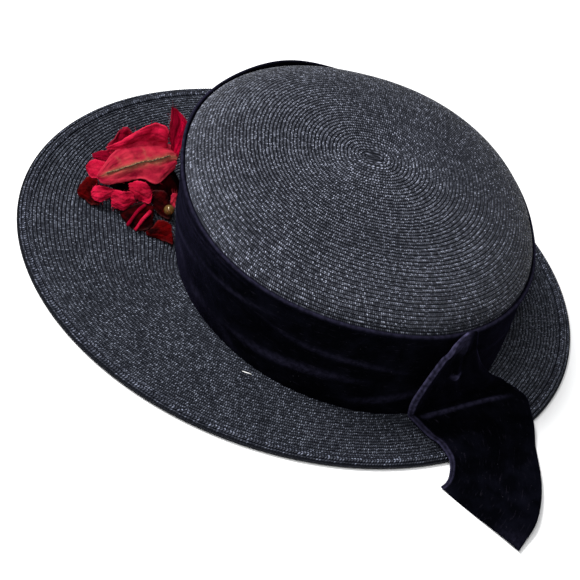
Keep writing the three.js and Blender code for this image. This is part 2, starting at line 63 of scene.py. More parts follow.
# %% Sizes in millimetres
STRAW = 1.8
BRIM_WIDTH, BRIM_LENGTH, BRIM_FORWARD = 286.6, 324.0, 22.9
BRIM_THICK = 2.0
EDGE_WIDTH = 8.2
CROWN_BASE = (201.0, 189.5)
CROWN_TOP = (196.5, 195.5)
SQUARENESS = 2.2
CROWN_LEAN = 8.0
WALL_TOP = 59.0
DOME_HEIGHT, DOME_FLATNESS, DOME_ROUNDNESS = 32.5, 3.0, 1.4
CROWN_RADIUS = 98
BAND_EASE, VELVET = 0.45, 1.5
GAP = 0.3
TURN = 2 * np.pi

edge_low, edge_high = (np.array(corner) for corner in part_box("brim_edge_braid"))
to_part = np.array([
    (edge_low[0] + edge_high[0]) / 2,
    (edge_low[1] + edge_high[1]) / 2 + BRIM_FORWARD / 1000,
    0.0,
])
print("shift from the hat's own middle, metres:", to_part.round(5))


def placed(points):
    """Hat millimetres to metres in the part's frame: divide by 1000, add the shift."""
    return np.asarray(points, float) / 1000 + to_part


# %% [markdown]
# ## Surfaces out of grids
#
# Everything on this hat is a sheet of something: braid, ribbon or petal. A sheet could be
# pulled into shape by hand, but hundreds of rows and folds stay even only when a formula
# makes them. So each piece is a function of two parameters, worked out on a whole grid at
# once. The helpers below hold the curves that come back often, the crown's own shape,
# and the way from a grid of points to a mesh with faces and a map.

# %% Small helpers for shapes
def ease(value, low, high):
    """Smooth step: 0 below low, 1 above high, and 3t^2 - 2t^3 between them."""
    t = np.clip((value - low) / (high - low), 0, 1)
    return t * t * (3 - 2 * t)


def bell(value, middle, width):
    """Bell curve: e to the power of minus ((value - middle) / width) squared."""
    return np.exp(-(((value - middle) / width) ** 2))


def ripple(x, seed, waves=4):
    """A sum of sines whose rate about doubles and whose height halves, seeded phases."""
    phases = np.random.default_rng(seed).uniform(0, TURN, waves)
    x = np.asarray(x, float)
    return sum(np.sin(2.1**n * x + phases[n]) / 2**n for n in range(waves)) / 1.6


def unit(vectors):
    """Each vector divided by its own length."""
    return vectors / np.linalg.norm(vectors, axis=-1, keepdims=True)


def steps_along(path, axis=0):
    """Distances between neighbouring points: the length of each difference."""
    return np.linalg.norm(np.diff(path, axis=axis), axis=-1)


def squared_oval(turn, half_width, half_length, squareness):
    """Superellipse: |x/a|^n + |y/b|^n = 1, with n the squareness."""
    c, s = np.abs(np.cos(turn)), np.abs(np.sin(turn))
    reach = (c**squareness + s**squareness) ** (-1 / squareness)
    return half_width * reach * np.cos(turn), half_length * reach * np.sin(turn)


def wall_point(turn, z, offset):
    """The crown's wall: an oval that changes evenly from its foot to its top."""
    rise = np.clip(z / WALL_TOP, 0, 1)
    half_width = (CROWN_BASE[0] + (CROWN_TOP[0] - CROWN_BASE[0]) * rise) / 2 + offset
    half_length = (CROWN_BASE[1] + (CROWN_TOP[1] - CROWN_BASE[1]) * rise) / 2 + offset
    x, y = squared_oval(turn, half_width, half_length, 2 + (SQUARENESS - 2) * rise)
    return np.stack([x, y - CROWN_LEAN * rise, z + 0 * x], -1)


def dome_point(turn, reach, offset):
    """Shoulder and tip: z = wall top + height (1 - reach^flatness)^(1 / roundness)."""
    rise = (1 - reach**DOME_FLATNESS) ** (1 / DOME_ROUNDNESS)
    half_width = (CROWN_TOP[0] / 2 + offset) * reach
    half_length = (CROWN_TOP[1] / 2 + offset) * reach
    x, y = squared_oval(turn, half_width, half_length, SQUARENESS)
    return np.stack([x, y - CROWN_LEAN, WALL_TOP + (DOME_HEIGHT + offset) * rise + 0 * x], -1)


# %% Helpers for meshes
MERGE_WITHIN = 3e-6


def mesh_piece(name, points, faces, corners=None, painted_light_and_dust=None):
    """A mesh object at the origin, from points, faces and a (u, v) for each face corner.

    Points that fall on one another are merged, which closes seams and drops the faces
    that a clamped grid folds flat. A share for each point may carry dust and painted light
    for the piece's finish.
    """
    mesh = bpy.data.meshes.new(name)
    mesh.vertices.add(len(points))
    mesh.vertices.foreach_set("co", placed(points).astype(np.float32).ravel())
    mesh.loops.add(faces.size)
    mesh.loops.foreach_set("vertex_index", faces.astype(np.int32).ravel())
    mesh.polygons.add(len(faces))
    starts = np.arange(0, faces.size, faces.shape[1], dtype=np.int32)
    mesh.polygons.foreach_set("loop_start", starts)
    mesh.update(calc_edges=True)
    if corners is not None:
        layer = mesh.uv_layers.new(name="along_across")
        layer.data.foreach_set("uv", corners.astype(np.float32).ravel())
    if painted_light_and_dust is not None:
        light_and_dust_layer = mesh.attributes.new("painted_light_and_dust", "FLOAT", "POINT")
        light_and_dust_layer.data.foreach_set("value", np.clip(painted_light_and_dust, 0, 1).astype(np.float32).ravel())
    shape = bmesh.new()
    shape.from_mesh(mesh)
    bmesh.ops.remove_doubles(shape, verts=shape.verts, dist=MERGE_WITHIN)
    shape.to_mesh(mesh)
    shape.free()
    mesh.polygons.foreach_set("use_smooth", np.ones(len(mesh.polygons), dtype=bool))
    mesh.update()
    piece = bpy.data.objects.new(name, mesh)
    bpy.context.collection.objects.link(piece)
    return piece


def grid_faces(rows, columns, close_rows=False, close_columns=False):
    """Faces of a grid of rows times columns points, joined round where it is closed."""
    i = np.arange(rows if close_rows else rows - 1)[:, None]
    j = np.arange(columns if close_columns else columns - 1)[None, :]
    i_next, j_next = (i + 1) % rows, (j + 1) % columns
    corners = [(i, j), (i_next, j), (i_next, j_next), (i, j_next)]
    return np.stack([row * columns + column for row, column in corners], -1).reshape(-1, 4)


def grid_corners(along, across):
    """The (u, v) of each face corner of an open grid, from the u of rows, v of columns."""
    uv = np.stack(np.meshgrid(along, across, indexing="ij"), -1)
    return np.stack([uv[:-1, :-1], uv[1:, :-1], uv[1:, 1:], uv[:-1, 1:]], 2).reshape(-1, 2)


def turned_over(corners):
    """The face corners in the opposite order, for faces that are listed the other way."""
    return corners.reshape(-1, 4, 2)[:, ::-1].reshape(-1, 2)


# %% Helpers for finished pieces
def thicken(piece, millimetres):
    """Gives a sheet its thickness, half to each side."""
    wall = piece.modifiers.new("cloth thickness", "SOLIDIFY")
    wall.thickness = millimetres / 1000
    wall.offset = 0


def dress(piece, material, slot, *nodes):
    """Gives a piece its material, lets it ride on the hat and stand for its CAD nodes."""
    piece.data.materials.append(material)
    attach(piece, "root")
    if nodes:
        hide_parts(*nodes)
    print(piece.name, "triangles:", sum(len(face.vertices) - 2 for face in piece.data.polygons))


# %% [markdown]
# ## Finishes out of nodes
#
# A finish could be a picture wrapped round the piece, but no picture of this straw exists
# from all sides. So each finish is a recipe of nodes. One helper below makes one node or
# one small pattern, which lets a recipe read as a list of steps. Patterns that follow
# the cloth or the braid read the piece's own map, and the others its own metres.

# %% Helpers for materials
def fresh_material(name):
    """A new node material: returns it with its node tree and its shader."""
    material = bpy.data.materials.new(name)
    material.use_nodes = True
    return material, material.node_tree, material.node_tree.nodes["Principled BSDF"]


def settle(node, values):
    """Puts constant values on a node's named sockets."""
    for name, value in values.items():
        node.inputs[name].default_value = value


def calc(tree, operation, *values):
    """A Math node of numbers and sockets."""
    node = tree.nodes.new("ShaderNodeMath")
    node.operation = operation
    for socket, value in zip(node.inputs, values):
        if isinstance(value, (int, float)):
            socket.default_value = value
        else:
            tree.links.new(value, socket)
    return node.outputs[0]


def times(tree, product, *others):
    """The product of numbers and sockets, one Math node for each that is multiplied in."""
    for other in others:
        product = calc(tree, "MULTIPLY", product, other)
    return product


def mixed(tree, share, first, second):
    """A colour between two colours or colour sockets."""
    node = tree.nodes.new("ShaderNodeMix")
    node.data_type = "RGBA"
    tree.links.new(share, node.inputs[0])
    for socket, value in ((node.inputs[6], first), (node.inputs[7], second)):
        if isinstance(value, tuple):
            socket.default_value = (*value, 1)
        else:
            tree.links.new(value, socket)
    return node.outputs[2]


def spread(tree, value, low, high, to_low=0.0, to_high=1.0):
    """Maps a value from low..high to another range, clamped."""
    node = tree.nodes.new("ShaderNodeMapRange")
    tree.links.new(value, node.inputs[0])
    for socket, number in zip(list(node.inputs)[1:5], (low, high, to_low, to_high)):
        socket.default_value = number
    return node.outputs[0]


# %% Helpers for patterns
def own_place(tree):
    """The point's place in the piece's own metres."""
    return tree.nodes.new("ShaderNodeTexCoord").outputs["Object"]


def cloudy(tree, scale, detail=2.0, place=None):
    """Noise at a place, which is the piece's own metres if none is given."""
    noise = tree.nodes.new("ShaderNodeTexNoise")
    settle(noise, {"Scale": scale, "Detail": detail})
    tree.links.new(own_place(tree) if place is None else place, noise.inputs["Vector"])
    return noise.outputs[0]


def plane(tree, by_x, by_y, offset):
    """by_x x + by_y y + offset, in the piece's own metres."""
    parts = tree.nodes.new("ShaderNodeSeparateXYZ")
    tree.links.new(own_place(tree), parts.inputs[0])
    sideways = calc(tree, "MULTIPLY_ADD", parts.outputs[0], by_x, offset)
    return calc(tree, "MULTIPLY_ADD", parts.outputs[1], by_y, sideways)


def own_map(tree):
    """The piece's own along and across coordinates, as two sockets."""
    uv = tree.nodes.new("ShaderNodeUVMap")
    uv.uv_map = "along_across"
    parts = tree.nodes.new("ShaderNodeSeparateXYZ")
    tree.links.new(uv.outputs[0], parts.inputs[0])
    return parts.outputs[0], parts.outputs[1]


def paired(tree, first, second):
    """Two sockets as the x and y of one vector."""
    pair = tree.nodes.new("ShaderNodeCombineXYZ")
    tree.links.new(first, pair.inputs[0])
    tree.links.new(second, pair.inputs[1])
    return pair.outputs[0]


def chance(tree, first, second):
    """Three random values for each pair of whole numbers."""
    noise = tree.nodes.new("ShaderNodeTexWhiteNoise")
    noise.noise_dimensions = "2D"
    tree.links.new(paired(tree, first, second), noise.inputs["Vector"])
    parts = tree.nodes.new("ShaderNodeSeparateColor")
    tree.links.new(noise.outputs["Color"], parts.inputs[0])
    return parts.outputs[0], parts.outputs[1], parts.outputs[2]


def light_and_dust_share(tree):
    """Dust and painted light, 0 to 1, as the piece's own attribute says."""
    light_and_dust_layer = tree.nodes.new("ShaderNodeAttribute")
    light_and_dust_layer.attribute_name = "painted_light_and_dust"
    return light_and_dust_layer.outputs["Fac"]


def bumped(tree, shader, height, distance, strength=1.0):
    """Height in units of distance metres, as a bump on the shader."""
    bump = tree.nodes.new("ShaderNodeBump")
    settle(bump, {"Distance": distance, "Strength": strength})
    tree.links.new(height, bump.inputs["Height"])
    tree.links.new(bump.outputs[0], shader.inputs["Normal"])


# %% [markdown]
# ## Straw that glints
#
# Each row of the braid is plaited from flat, glossy splints. They meet at the row's ridge
# in chevrons, and every splint catches the light a little differently, which gives the
# hat its dark shimmer of small bright points. The splints are counted along and across
# the braid by its own map, and random numbers for each of them tilt it in the bump and
# lighten it; the rarest and brightest are painted glints, highlights painted into the
# colour. The grooves between the rows are painted dark, as painted shade, and the side
# away from the key light is painted darker on the tip and lighter on the brim. Splints of
# real faces would take millions of them, so the rows are modelled and the splints are
# left to the finish.

# %% Straw
# the straw's dark colour; the grooves between rows go fully to it, which is painted shade
DARK_STRAW_AND_GROOVE_SHADE = (0.0030, 0.0038, 0.0075)
AWAY_FROM_LIGHT = {"by_x": -6.0, "by_y": 6.0, "offset": -0.236}


def straw(name, light, plait, ridge, first_row, painted_side_light):
    """Chevrons: cell number = along / plait + 0.6 |2 across - 1|, one tone for each half.

    Tones are a dull base and, from a high power of the same random number, rare glints,
    which are highlights painted into the colour. The grooves go to the dark colour as
    painted shade. ridge is the tone where the two halves of a row meet, first_row that of
    the first row, which on the edge braid is painted shade on the row turned over the rim,
    and the last argument the tone on the side away from the key light: painted shade on
    the tip, painted light on the brim and its edge.
    """
    material, tree, shader = fresh_material(name)
    along, row = own_map(tree)
    across = calc(tree, "FRACT", row)
    off_ridge = calc(tree, "ABSOLUTE", calc(tree, "MULTIPLY_ADD", across, 2.0, -1.0))
    step = calc(tree, "ADD", calc(tree, "DIVIDE", along, plait), times(tree, off_ridge, 0.6))
    in_splint = calc(tree, "FRACT", step)
    half_rows = times(tree, row, 2.0)
    tone, tilt, turn = chance(tree, calc(tree, "FLOOR", step), calc(tree, "FLOOR", half_rows))

    pillow = calc(tree, "SINE", times(tree, in_splint, np.pi))
    # body takes the colour down to the dark in the grooves between rows, as painted shade, and sets the
    # tone where the halves meet; it also shapes the bump and the roughness
    body = times(tree, spread(tree, off_ridge, 0.5, 0.92, 1.0, 0.0),
                 spread(tree, off_ridge, 0.0, 0.3, ridge, 1.0))
    lean_along = times(tree, calc(tree, "SUBTRACT", tilt, 0.5), in_splint)
    lean_across = times(tree, calc(tree, "SUBTRACT", turn, 0.5), across)
    leans = calc(tree, "ADD", times(tree, lean_along, 1.1), times(tree, lean_across, 0.8))
    height = calc(tree, "ADD", leans, times(tree, pillow, body, 0.8))
    fibre = calc(tree, "MULTIPLY_ADD", cloudy(tree, 2600, 1.0), 0.25, height)
    bumped(tree, shader, calc(tree, "MULTIPLY_ADD", body, 0.6, fibre), 0.0007)

    # painted glints: rare bright spots in the colour at the middle of a splint, painted highlights
    in_half_row = calc(tree, "FRACT", half_rows)
    spot = times(tree, pillow, calc(tree, "SINE", times(tree, in_half_row, np.pi)))
    painted_glint = times(tree, calc(tree, "POWER", tone, 6.0), calc(tree, "POWER", spot, 2.0))
    tone_and_painted_glint = calc(tree, "ADD", calc(tree, "MULTIPLY_ADD", tone, 0.21, 0.045), painted_glint)
    worn = spread(tree, cloudy(tree, 38, 3.0), 0.3, 0.72)
    # painted light and shade: a gradient across the hat towards the side away from the key light
    shade = spread(tree, plane(tree, **AWAY_FROM_LIGHT), -0.2, 0.5, 1.0, painted_side_light)
    share = times(tree, tone_and_painted_glint, body, calc(tree, "POWER", pillow, 1.5),
                  calc(tree, "MULTIPLY_ADD", worn, 0.4, 0.8),
                  spread(tree, row, 0.9, 1.1, first_row, 1.0), shade)
    tree.links.new(mixed(tree, share, DARK_STRAW_AND_GROOVE_SHADE, light), shader.inputs["Base Color"])
    smooth = times(tree, body, calc(tree, "SUBTRACT", 1.0, tilt))
    tree.links.new(spread(tree, smooth, 0.0, 1.0, 0.75, 0.28), shader.inputs["Roughness"])
    settle(shader, {"Specular IOR Level": 0.12})
    return material


# the last argument paints shade on the tip's side away from the key light (below 1) and light on the
# brim and its edge there (above 1)
TIP_FINISH = straw("worn_straw_braid", light=(0.60, 0.64, 0.80), plait=1.05,
                   ridge=0.85, first_row=0.5, painted_side_light=0.45)
BRIM_FINISH = straw("dark_straw_braid", light=(0.42, 0.46, 0.58), plait=1.1,
                    ridge=0.65, first_row=1.0, painted_side_light=1.8)
# first_row=0.08 paints the row turned over the rim nearly black: painted shade
EDGE_FINISH = straw("glossy_edge_braid", light=(0.38, 0.415, 0.545), plait=1.6,
                    ridge=0.8, first_row=0.08, painted_side_light=1.3)
print("straw finishes:", TIP_FINISH.name, BRIM_FINISH.name, EDGE_FINISH.name)

# %% [markdown]
# ## A braid that winds
#
# The crown could be made of rings, one for each row, but a real braid never closes on
# itself: it climbs one row in every turn. So the grid winds too. A point in step k along
# the row's width and step j round the hat has the row number k / steps + j / around, and
# the last column is joined to the first one a whole row further on. Row numbers below the
# start or past the end are clamped, so those faces fold flat and are merged away.

# %% The winding grid
ROW_SHAPE = np.array([0.0, 0.74, 1.0, 0.78])
PER_ROW = len(ROW_SHAPE)


def winding(last_row, around):
    """Row number (steps, around) of a winding grid, clamped to 0..last_row.

    The grid starts a whole row early, and last_row may differ round the hat. Also
    returned: the turn of each column, the height of the row's rounded section at each
    point, and the steps' unclamped rows.
    """
    steps = PER_ROW * (int(np.ceil(np.max(last_row))) + 2)
    k, j = np.arange(steps + 1), np.arange(around)
    row_of_step = k / PER_ROW - 1
    clamped = np.clip(row_of_step[:, None] + j / around, 0, last_row)
    fade = ease(np.minimum(clamped, last_row - clamped), 0.0, 0.3)
    turn = TURN * j / around + 0 * clamped
    return clamped, turn, ROW_SHAPE[k % PER_ROW][:, None] * fade, row_of_step


def winding_faces(row_of_step, around, length_at):
    """Faces of the winding grid, and the (u, v) of each of their corners.

    Columns lie side by side, and the last one is joined to the first one a row on. u is
    millimetres along the braid, and v the row number across it.
    """
    steps = len(row_of_step)
    k, j = (n.ravel() for n in np.meshgrid(np.arange(steps - 1), np.arange(around - 1), indexing="ij"))
    seam = np.arange(steps - 1 - PER_ROW)
    k, j = np.append(k, seam), np.append(j, 0 * seam + around - 1)
    k_beside, j_beside = k + PER_ROW * (j == around - 1), (j + 1) % around
    faces = np.stack([k * around + j, (k + 1) * around + j,
                      (k_beside + 1) * around + j_beside, k_beside * around + j_beside], -1)
    own_row = np.floor(row_of_step[k])
    u, u_next = length_at(own_row + j / around), length_at(own_row + (j + 1) / around)
    v, v_next = row_of_step[k], row_of_step[k] + 1 / PER_ROW
    return faces, np.stack([u, v, u, v_next, u_next, v_next, u_next, v], -1).reshape(-1, 2)


def two_skins(outer, inner, faces, corners, rims):
    """Joins an outer and an inner skin of one grid, and closes them along rims of the grid."""
    count = len(outer)
    skins, maps = [faces, count + faces[:, ::-1]], [corners, turned_over(corners)]
    for rim, side in rims:
        beside = np.roll(rim, -1)
        strip = np.stack([rim, beside, count + beside, count + rim], -1)[:, ::side]
        skins.append(strip)
        maps.append(np.zeros((strip.size, 2)))
    return np.concatenate([outer, inner]), np.concatenate(skins), np.concatenate(maps)


# %% [markdown]
# ## Crown
#
# Fifty-two rows cover the tip and the shoulder, and the rest go down the wall behind
# the velvet, where they show only from inside. A table of the dome's own arc length
# spaces the rows evenly over its curve. The first row is folded on itself, so the
# winding starts as a short straight line, a little off the tip's middle, with oval rows
# round it. The inner skin repeats the rows at a straw's thickness.

# %% Crown
TIP_ROWS, WALL_ROWS = 52, 22
CROWN_FOOT = 1.1
OVAL_START = 3.0
START_X, START_Y = 7.9, -4.8
CROWN_AROUND = 160

reach_table = np.linspace(0, 1, 400)
arc = np.append(0, np.cumsum(steps_along(dome_point(0.0, reach_table, 0.0))))
row_table = arc / arc[-1] * TIP_ROWS
print("arc from the tip's middle to the wall:", arc[-1].round(1), "mm,",
      "a row is", (arc[-1] / TIP_ROWS).round(2), "mm wide")


def crown_point(turn, row, offset):
    """Tip rows follow the dome by arc length; wall rows go down evenly to the foot."""
    uneven = row + 0.10 * np.sin(2 * turn + row / 3) * ease(row, 2, 8) * (1 - ease(row, 43, 50))
    reach = np.interp(uneven, row_table, reach_table)
    dome = dome_point(turn, reach, offset)
    towards_start = 1 - ease(reach, 0.35, 1.0)
    stretched = OVAL_START * np.tanh(2.5 * np.sin(turn)) * (1 - ease(reach, 0.0, 0.6))
    dome[..., 0] += START_X * towards_start
    dome[..., 1] += START_Y * towards_start + stretched
    dents = ripple(3 * reach * np.cos(turn) + 2 * reach * np.sin(turn), 5, 2)
    dome[..., 2] += 0.35 * dents * (1 - reach)
    down = (row - TIP_ROWS) / WALL_ROWS
    wall = wall_point(turn, WALL_TOP - (WALL_TOP - CROWN_FOOT) * np.clip(down, 0, 1), offset)
    return np.where((row > TIP_ROWS)[..., None], wall, dome)


PART_ROW = 0.25
part_rows = np.arange(0, TIP_ROWS + WALL_ROWS + 4, PART_ROW)
round_at = np.interp(part_rows, row_table, reach_table) * TURN * CROWN_RADIUS
crown_lengths = np.append(0, np.cumsum(round_at) * PART_ROW)


def crown_length(row):
    """Millimetres of braid from its start: the sum of the rows' lengths so far."""
    return np.interp(row, np.arange(len(crown_lengths)) * PART_ROW, crown_lengths)


rows, turn, height, row_of_step = winding(TIP_ROWS + WALL_ROWS, CROWN_AROUND)
depth = 0.42 + 0.3 * ease(rows, 45, 50)
outer = crown_point(turn, rows, height * depth - 0.2).reshape(-1, 3)
inner = crown_point(turn, rows, -STRAW + 0.3 - height * 0.42).reshape(-1, 3)
faces, corners = winding_faces(row_of_step, CROWN_AROUND, crown_length)
foot = (len(row_of_step) - 1) * CROWN_AROUND + np.arange(CROWN_AROUND)
crown = mesh_piece("sewn_crown", *two_skins(outer, inner, faces, corners, [(foot, -1)]))
dress(crown, TIP_FINISH, "straw_braid", "crown")

# %% [markdown]
# ## Brim
#
# The rows of the brim lie parallel to its rim and not to the crown: they run in under the
# velvet where the brim is narrow, and in front, where it is wide, there is room for more
# than twice as many, spaced a little further apart. So rows are counted inwards from the
# edge braid, along the rim's normal, and for each column a halving search finds where
# the crown's foot is. The winding grid is clamped there.

# %% Brim
SIDE_PITCH, FRONT_PITCH = 1.87, 2.28
FRONT_AT, FRONT_SPREAD = -84, 24
BRIM_AROUND = 300
UNDER_EDGE = 1.6
BRAID_RADIUS = 146
DEEPEST_INSET, HALVINGS = 120.0, 40


def outside_brim(x, y):
    """How far a point lies outside the rim's oval, in millimetres."""
    reach = np.hypot(x / (BRIM_WIDTH / 2), (y + BRIM_FORWARD) / (BRIM_LENGTH / 2))
    return (reach - 1) * (BRIM_WIDTH + BRIM_LENGTH) / 4


def away_from(turn, middle):
    """Angle from a middle, which is in degrees: arctan of the difference's sine, cosine."""
    apart = turn - np.radians(middle)
    return np.arctan2(np.sin(apart), np.cos(apart))


def bump_at(turn, middle, width):
    """A bell curve round the hat, with its middle and its width in degrees."""
    return bell(away_from(turn, middle), 0, np.radians(width))


def brim_pitch(turn):
    """Row width round the brim: a bell curve over the front, on the sides' width."""
    return SIDE_PITCH + (FRONT_PITCH - SIDE_PITCH) * bump_at(turn, FRONT_AT, FRONT_SPREAD)


def brim_plan(turn, inset):
    """The rim moved in by an inset along its own normal (cos t / a, sin t / b)."""
    rim = np.stack([BRIM_WIDTH / 2 * np.cos(turn), BRIM_LENGTH / 2 * np.sin(turn) - BRIM_FORWARD], -1)
    normal = unit(np.stack([np.cos(turn) * BRIM_LENGTH, np.sin(turn) * BRIM_WIDTH], -1))
    return rim - normal * inset[..., None]


# %% Brim: where its rows end, and its two skins
columns = TURN * np.arange(BRIM_AROUND) / BRIM_AROUND
near, far = np.zeros(BRIM_AROUND), np.full(BRIM_AROUND, DEEPEST_INSET)
for _ in range(HALVINGS):
    middle = (near + far) / 2
    spot = brim_plan(columns, middle)
    foot_turn = np.arctan2(spot[:, 1] / CROWN_BASE[1], spot[:, 0] / CROWN_BASE[0])
    foot = wall_point(foot_turn, 0 * foot_turn, -STRAW)
    outside = np.hypot(spot[:, 0], spot[:, 1]) > np.hypot(foot[:, 0], foot[:, 1])
    near, far = np.where(outside, middle, near), np.where(outside, far, middle)
first_inset = EDGE_WIDTH - UNDER_EDGE
last_row = (near - first_inset) / brim_pitch(columns)
print("rows on the brim, narrowest and widest:", last_row.min().round(1), last_row.max().round(1))

rows, turn, height, row_of_step = winding(last_row[None, :], BRIM_AROUND)
wander = 0.12 * np.sin(3 * turn + rows / 4) * ease(rows, 1, 4) * ease(last_row[None, :] - rows, 1, 4)
plan = brim_plan(turn, first_inset + rows * brim_pitch(turn) + wander)
wave = 0.25 * ripple(turn * 2, 8, 3) * ease(last_row[None, :] - rows, 4, 14)
top = np.concatenate([plan, (BRIM_THICK - 0.25 + wave + 0.5 * height)[..., None]], -1).reshape(-1, 3)
under = np.concatenate([plan, (0.55 - 0.42 * height)[..., None]], -1).reshape(-1, 3)


def brim_length(row):
    """Millimetres of braid: a turn at row n is 2 pi (radius - pitch n) long."""
    return TURN * (BRAID_RADIUS * row - SIDE_PITCH * row * row / 2)


faces, corners = winding_faces(row_of_step, BRIM_AROUND, brim_length)
first = np.arange(BRIM_AROUND)
last = (len(row_of_step) - 1) * BRIM_AROUND + first
skins, faces, corners = two_skins(under, top, faces, corners, [(first, 1), (last, -1)])
brim = mesh_piece("sewn_brim", skins, faces, corners)
dress(brim, BRIM_FINISH, "straw_braid", "brim")

# %% [markdown]
# ## Edge braid
#
# The rim is finished with heavier, glossier rows that stand above the brim: a row turned
# over the very edge, painted nearly black as painted shade, a narrow one, a wide raised
# one, and a small one where they meet the brim's own rows. They are real relief here,
# with the plait's bulges carried along each row, because the rim is what one sees closest
# and against the light.

# %% Edge braid
EDGE_ROWS = [
    # middle, half width and top in millimetres, and the plait's phase
    {"middle": 0.5, "half": 0.55, "top": 1.9, "phase": 0.0},
    {"middle": 1.7, "half": 0.7, "top": 2.9, "phase": 0.5},
    {"middle": 4.6, "half": 2.1, "top": 3.65, "phase": 0.2},
    {"middle": 7.6, "half": 0.55, "top": 2.7, "phase": 0.7},
]
EDGE_AROUND = 2400
EDGE_STITCH = 1.6
EDGE_FLOOR, EDGE_PLAIT = 1.4, 0.38


def edge_height(inset, along):
    """Each row is an arch, root of 1 - d^2, swollen and pinched along it by the plait."""
    height = np.full(np.broadcast(inset, along).shape, EDGE_FLOOR)
    for row in EDGE_ROWS:
        across = (inset - row["middle"]) / row["half"]
        arch = np.sqrt(np.clip(1 - across**2, 0, 1))
        plait = np.abs(np.sin(np.pi * (along / EDGE_STITCH + row["phase"] + 0.3 * across)))
        top = row["top"] - EDGE_FLOOR - EDGE_PLAIT + EDGE_PLAIT * plait
        height = np.maximum(height, EDGE_FLOOR + top * arch)
    return height


# %% Edge braid: its points round the rim
edge_turn = TURN * np.arange(EDGE_AROUND) / EDGE_AROUND
inset = np.concatenate([
    [0, 0.3, 0.6, 0.95], np.linspace(1.1, 2.35, 6), np.linspace(2.55, 6.65, 9),
    [7.0, 7.3, 7.6, 7.9, EDGE_WIDTH],
])
rim = np.hypot(BRIM_WIDTH / 2 * np.sin(edge_turn), BRIM_LENGTH / 2 * np.cos(edge_turn))
edge_along = np.cumsum(rim) * TURN / EDGE_AROUND
edge_along *= round(edge_along[-1] / EDGE_STITCH) * EDGE_STITCH / edge_along[-1]
tops = edge_height(inset[None, :], edge_along[:, None])
tops[:, 0] = 1.0
insets = np.concatenate([inset, [EDGE_WIDTH, 4.0, 0.6]])
heights = np.concatenate([tops, np.tile([0.5, 0.3, 0.15], (EDGE_AROUND, 1))], 1)
edge_points = np.stack([
    (BRIM_WIDTH / 2 - insets) * np.cos(edge_turn)[:, None],
    (BRIM_LENGTH / 2 - insets) * np.sin(edge_turn)[:, None] - BRIM_FORWARD,
    heights,
], -1)
faces = grid_faces(EDGE_AROUND, len(insets), close_rows=True, close_columns=True)
row_of_inset = np.interp(insets, [0, 1.0, 2.45, 4.6, 6.85, EDGE_WIDTH], [0, 1, 2, 3, 4, 5])
u = np.append(edge_along, edge_along[-1] + edge_along[0])
corners = grid_corners(u, np.append(row_of_inset, row_of_inset[0]))
edge = mesh_piece("edge_braid_rows", edge_points.reshape(-1, 3), faces, corners)
dress(edge, EDGE_FINISH, "edge_braid", "brim_edge_braid")

# %% [markdown]
# ## Velvet
#
# Velvet is a short dense pile that swallows light seen from above and throws it back
# where it is seen from the side, so its folds and rolled edges shine blue-violet round
# nearly black faces. The shader's sheen does a little of that. The rest is a painted
# sheen: along edges, on the ridges of folds and low on the side towards the key light,
# each piece carries a share from 0 to 1 that paints it violet. Crushed streaks, painted
# lighter as painted highlights, and pale specks, painted highlights on the pile, keep it
# from being even.

# %% Velvet
def velvet(name):
    """Black-blue pile with patches, crushed streaks and pale specks as painted highlights, and a
    painted violet sheen by the piece's share.
    """
    material, tree, shader = fresh_material(name)
    along, across = own_map(tree)
    lengthwise = paired(tree, times(tree, along, 0.10), times(tree, across, 0.42))
    # crushed pile in streaks, painted lighter: a painted highlight on it
    crushed_sheen = spread(tree, cloudy(tree, 1.6, 4.0, lengthwise), 0.60, 0.72)
    patches = spread(tree, cloudy(tree, 90, 4.0), 0.42, 0.75)
    pile = cloudy(tree, 2400, 1.0)
    colour = mixed(tree, patches, (0.0008, 0.0009, 0.0016), (0.0025, 0.0026, 0.0050))
    streaks = times(tree, crushed_sheen, spread(tree, pile, 0.35, 0.7), 0.55)
    colour = mixed(tree, streaks, colour, (0.020, 0.017, 0.026))
    # pale specks: painted highlights on the pile's crinkles
    lint = times(tree, spread(tree, cloudy(tree, 900), 0.73, 0.80), 0.35)
    colour = mixed(tree, lint, colour, (0.09, 0.085, 0.10))
    # painted sheen: violet where the piece's share says, broken up by noise
    sheen_breakup = spread(tree, cloudy(tree, 420, 3.0), 0.34, 0.62, 0.35, 1.0)
    colour = mixed(tree, times(tree, light_and_dust_share(tree), sheen_breakup), colour, (0.050, 0.046, 0.092))
    tree.links.new(colour, shader.inputs["Base Color"])
    relief = calc(tree, "MULTIPLY_ADD", cloudy(tree, 260, 3.0), 1.6, pile)
    bumped(tree, shader, relief, 0.0004, 0.7)
    settle(shader, {"Roughness": 0.85, "Specular IOR Level": 0.0, "Sheen Weight": 0.02,
                    "Sheen Roughness": 0.25, "Sheen Tint": (0.50, 0.45, 1.0, 1)})
    return material


VELVET_FINISH = velvet("navy_velvet")
print("velvet finish:", VELVET_FINISH.name)

# %% [markdown]
# ## Hat band
#
# The band is one velvet ribbon drawn round the crown. It is a closed section carried
# round: up the outside, over a rolled top edge and down against the straw. The far side
# stands proud in a fold, the near side rolls outwards, and long shallow creases run along
# it where the ribbon is slack. Simulated cloth would choose creases of its own, so each
# crease is a ridge that follows its own line, given as a height at its start and its end.

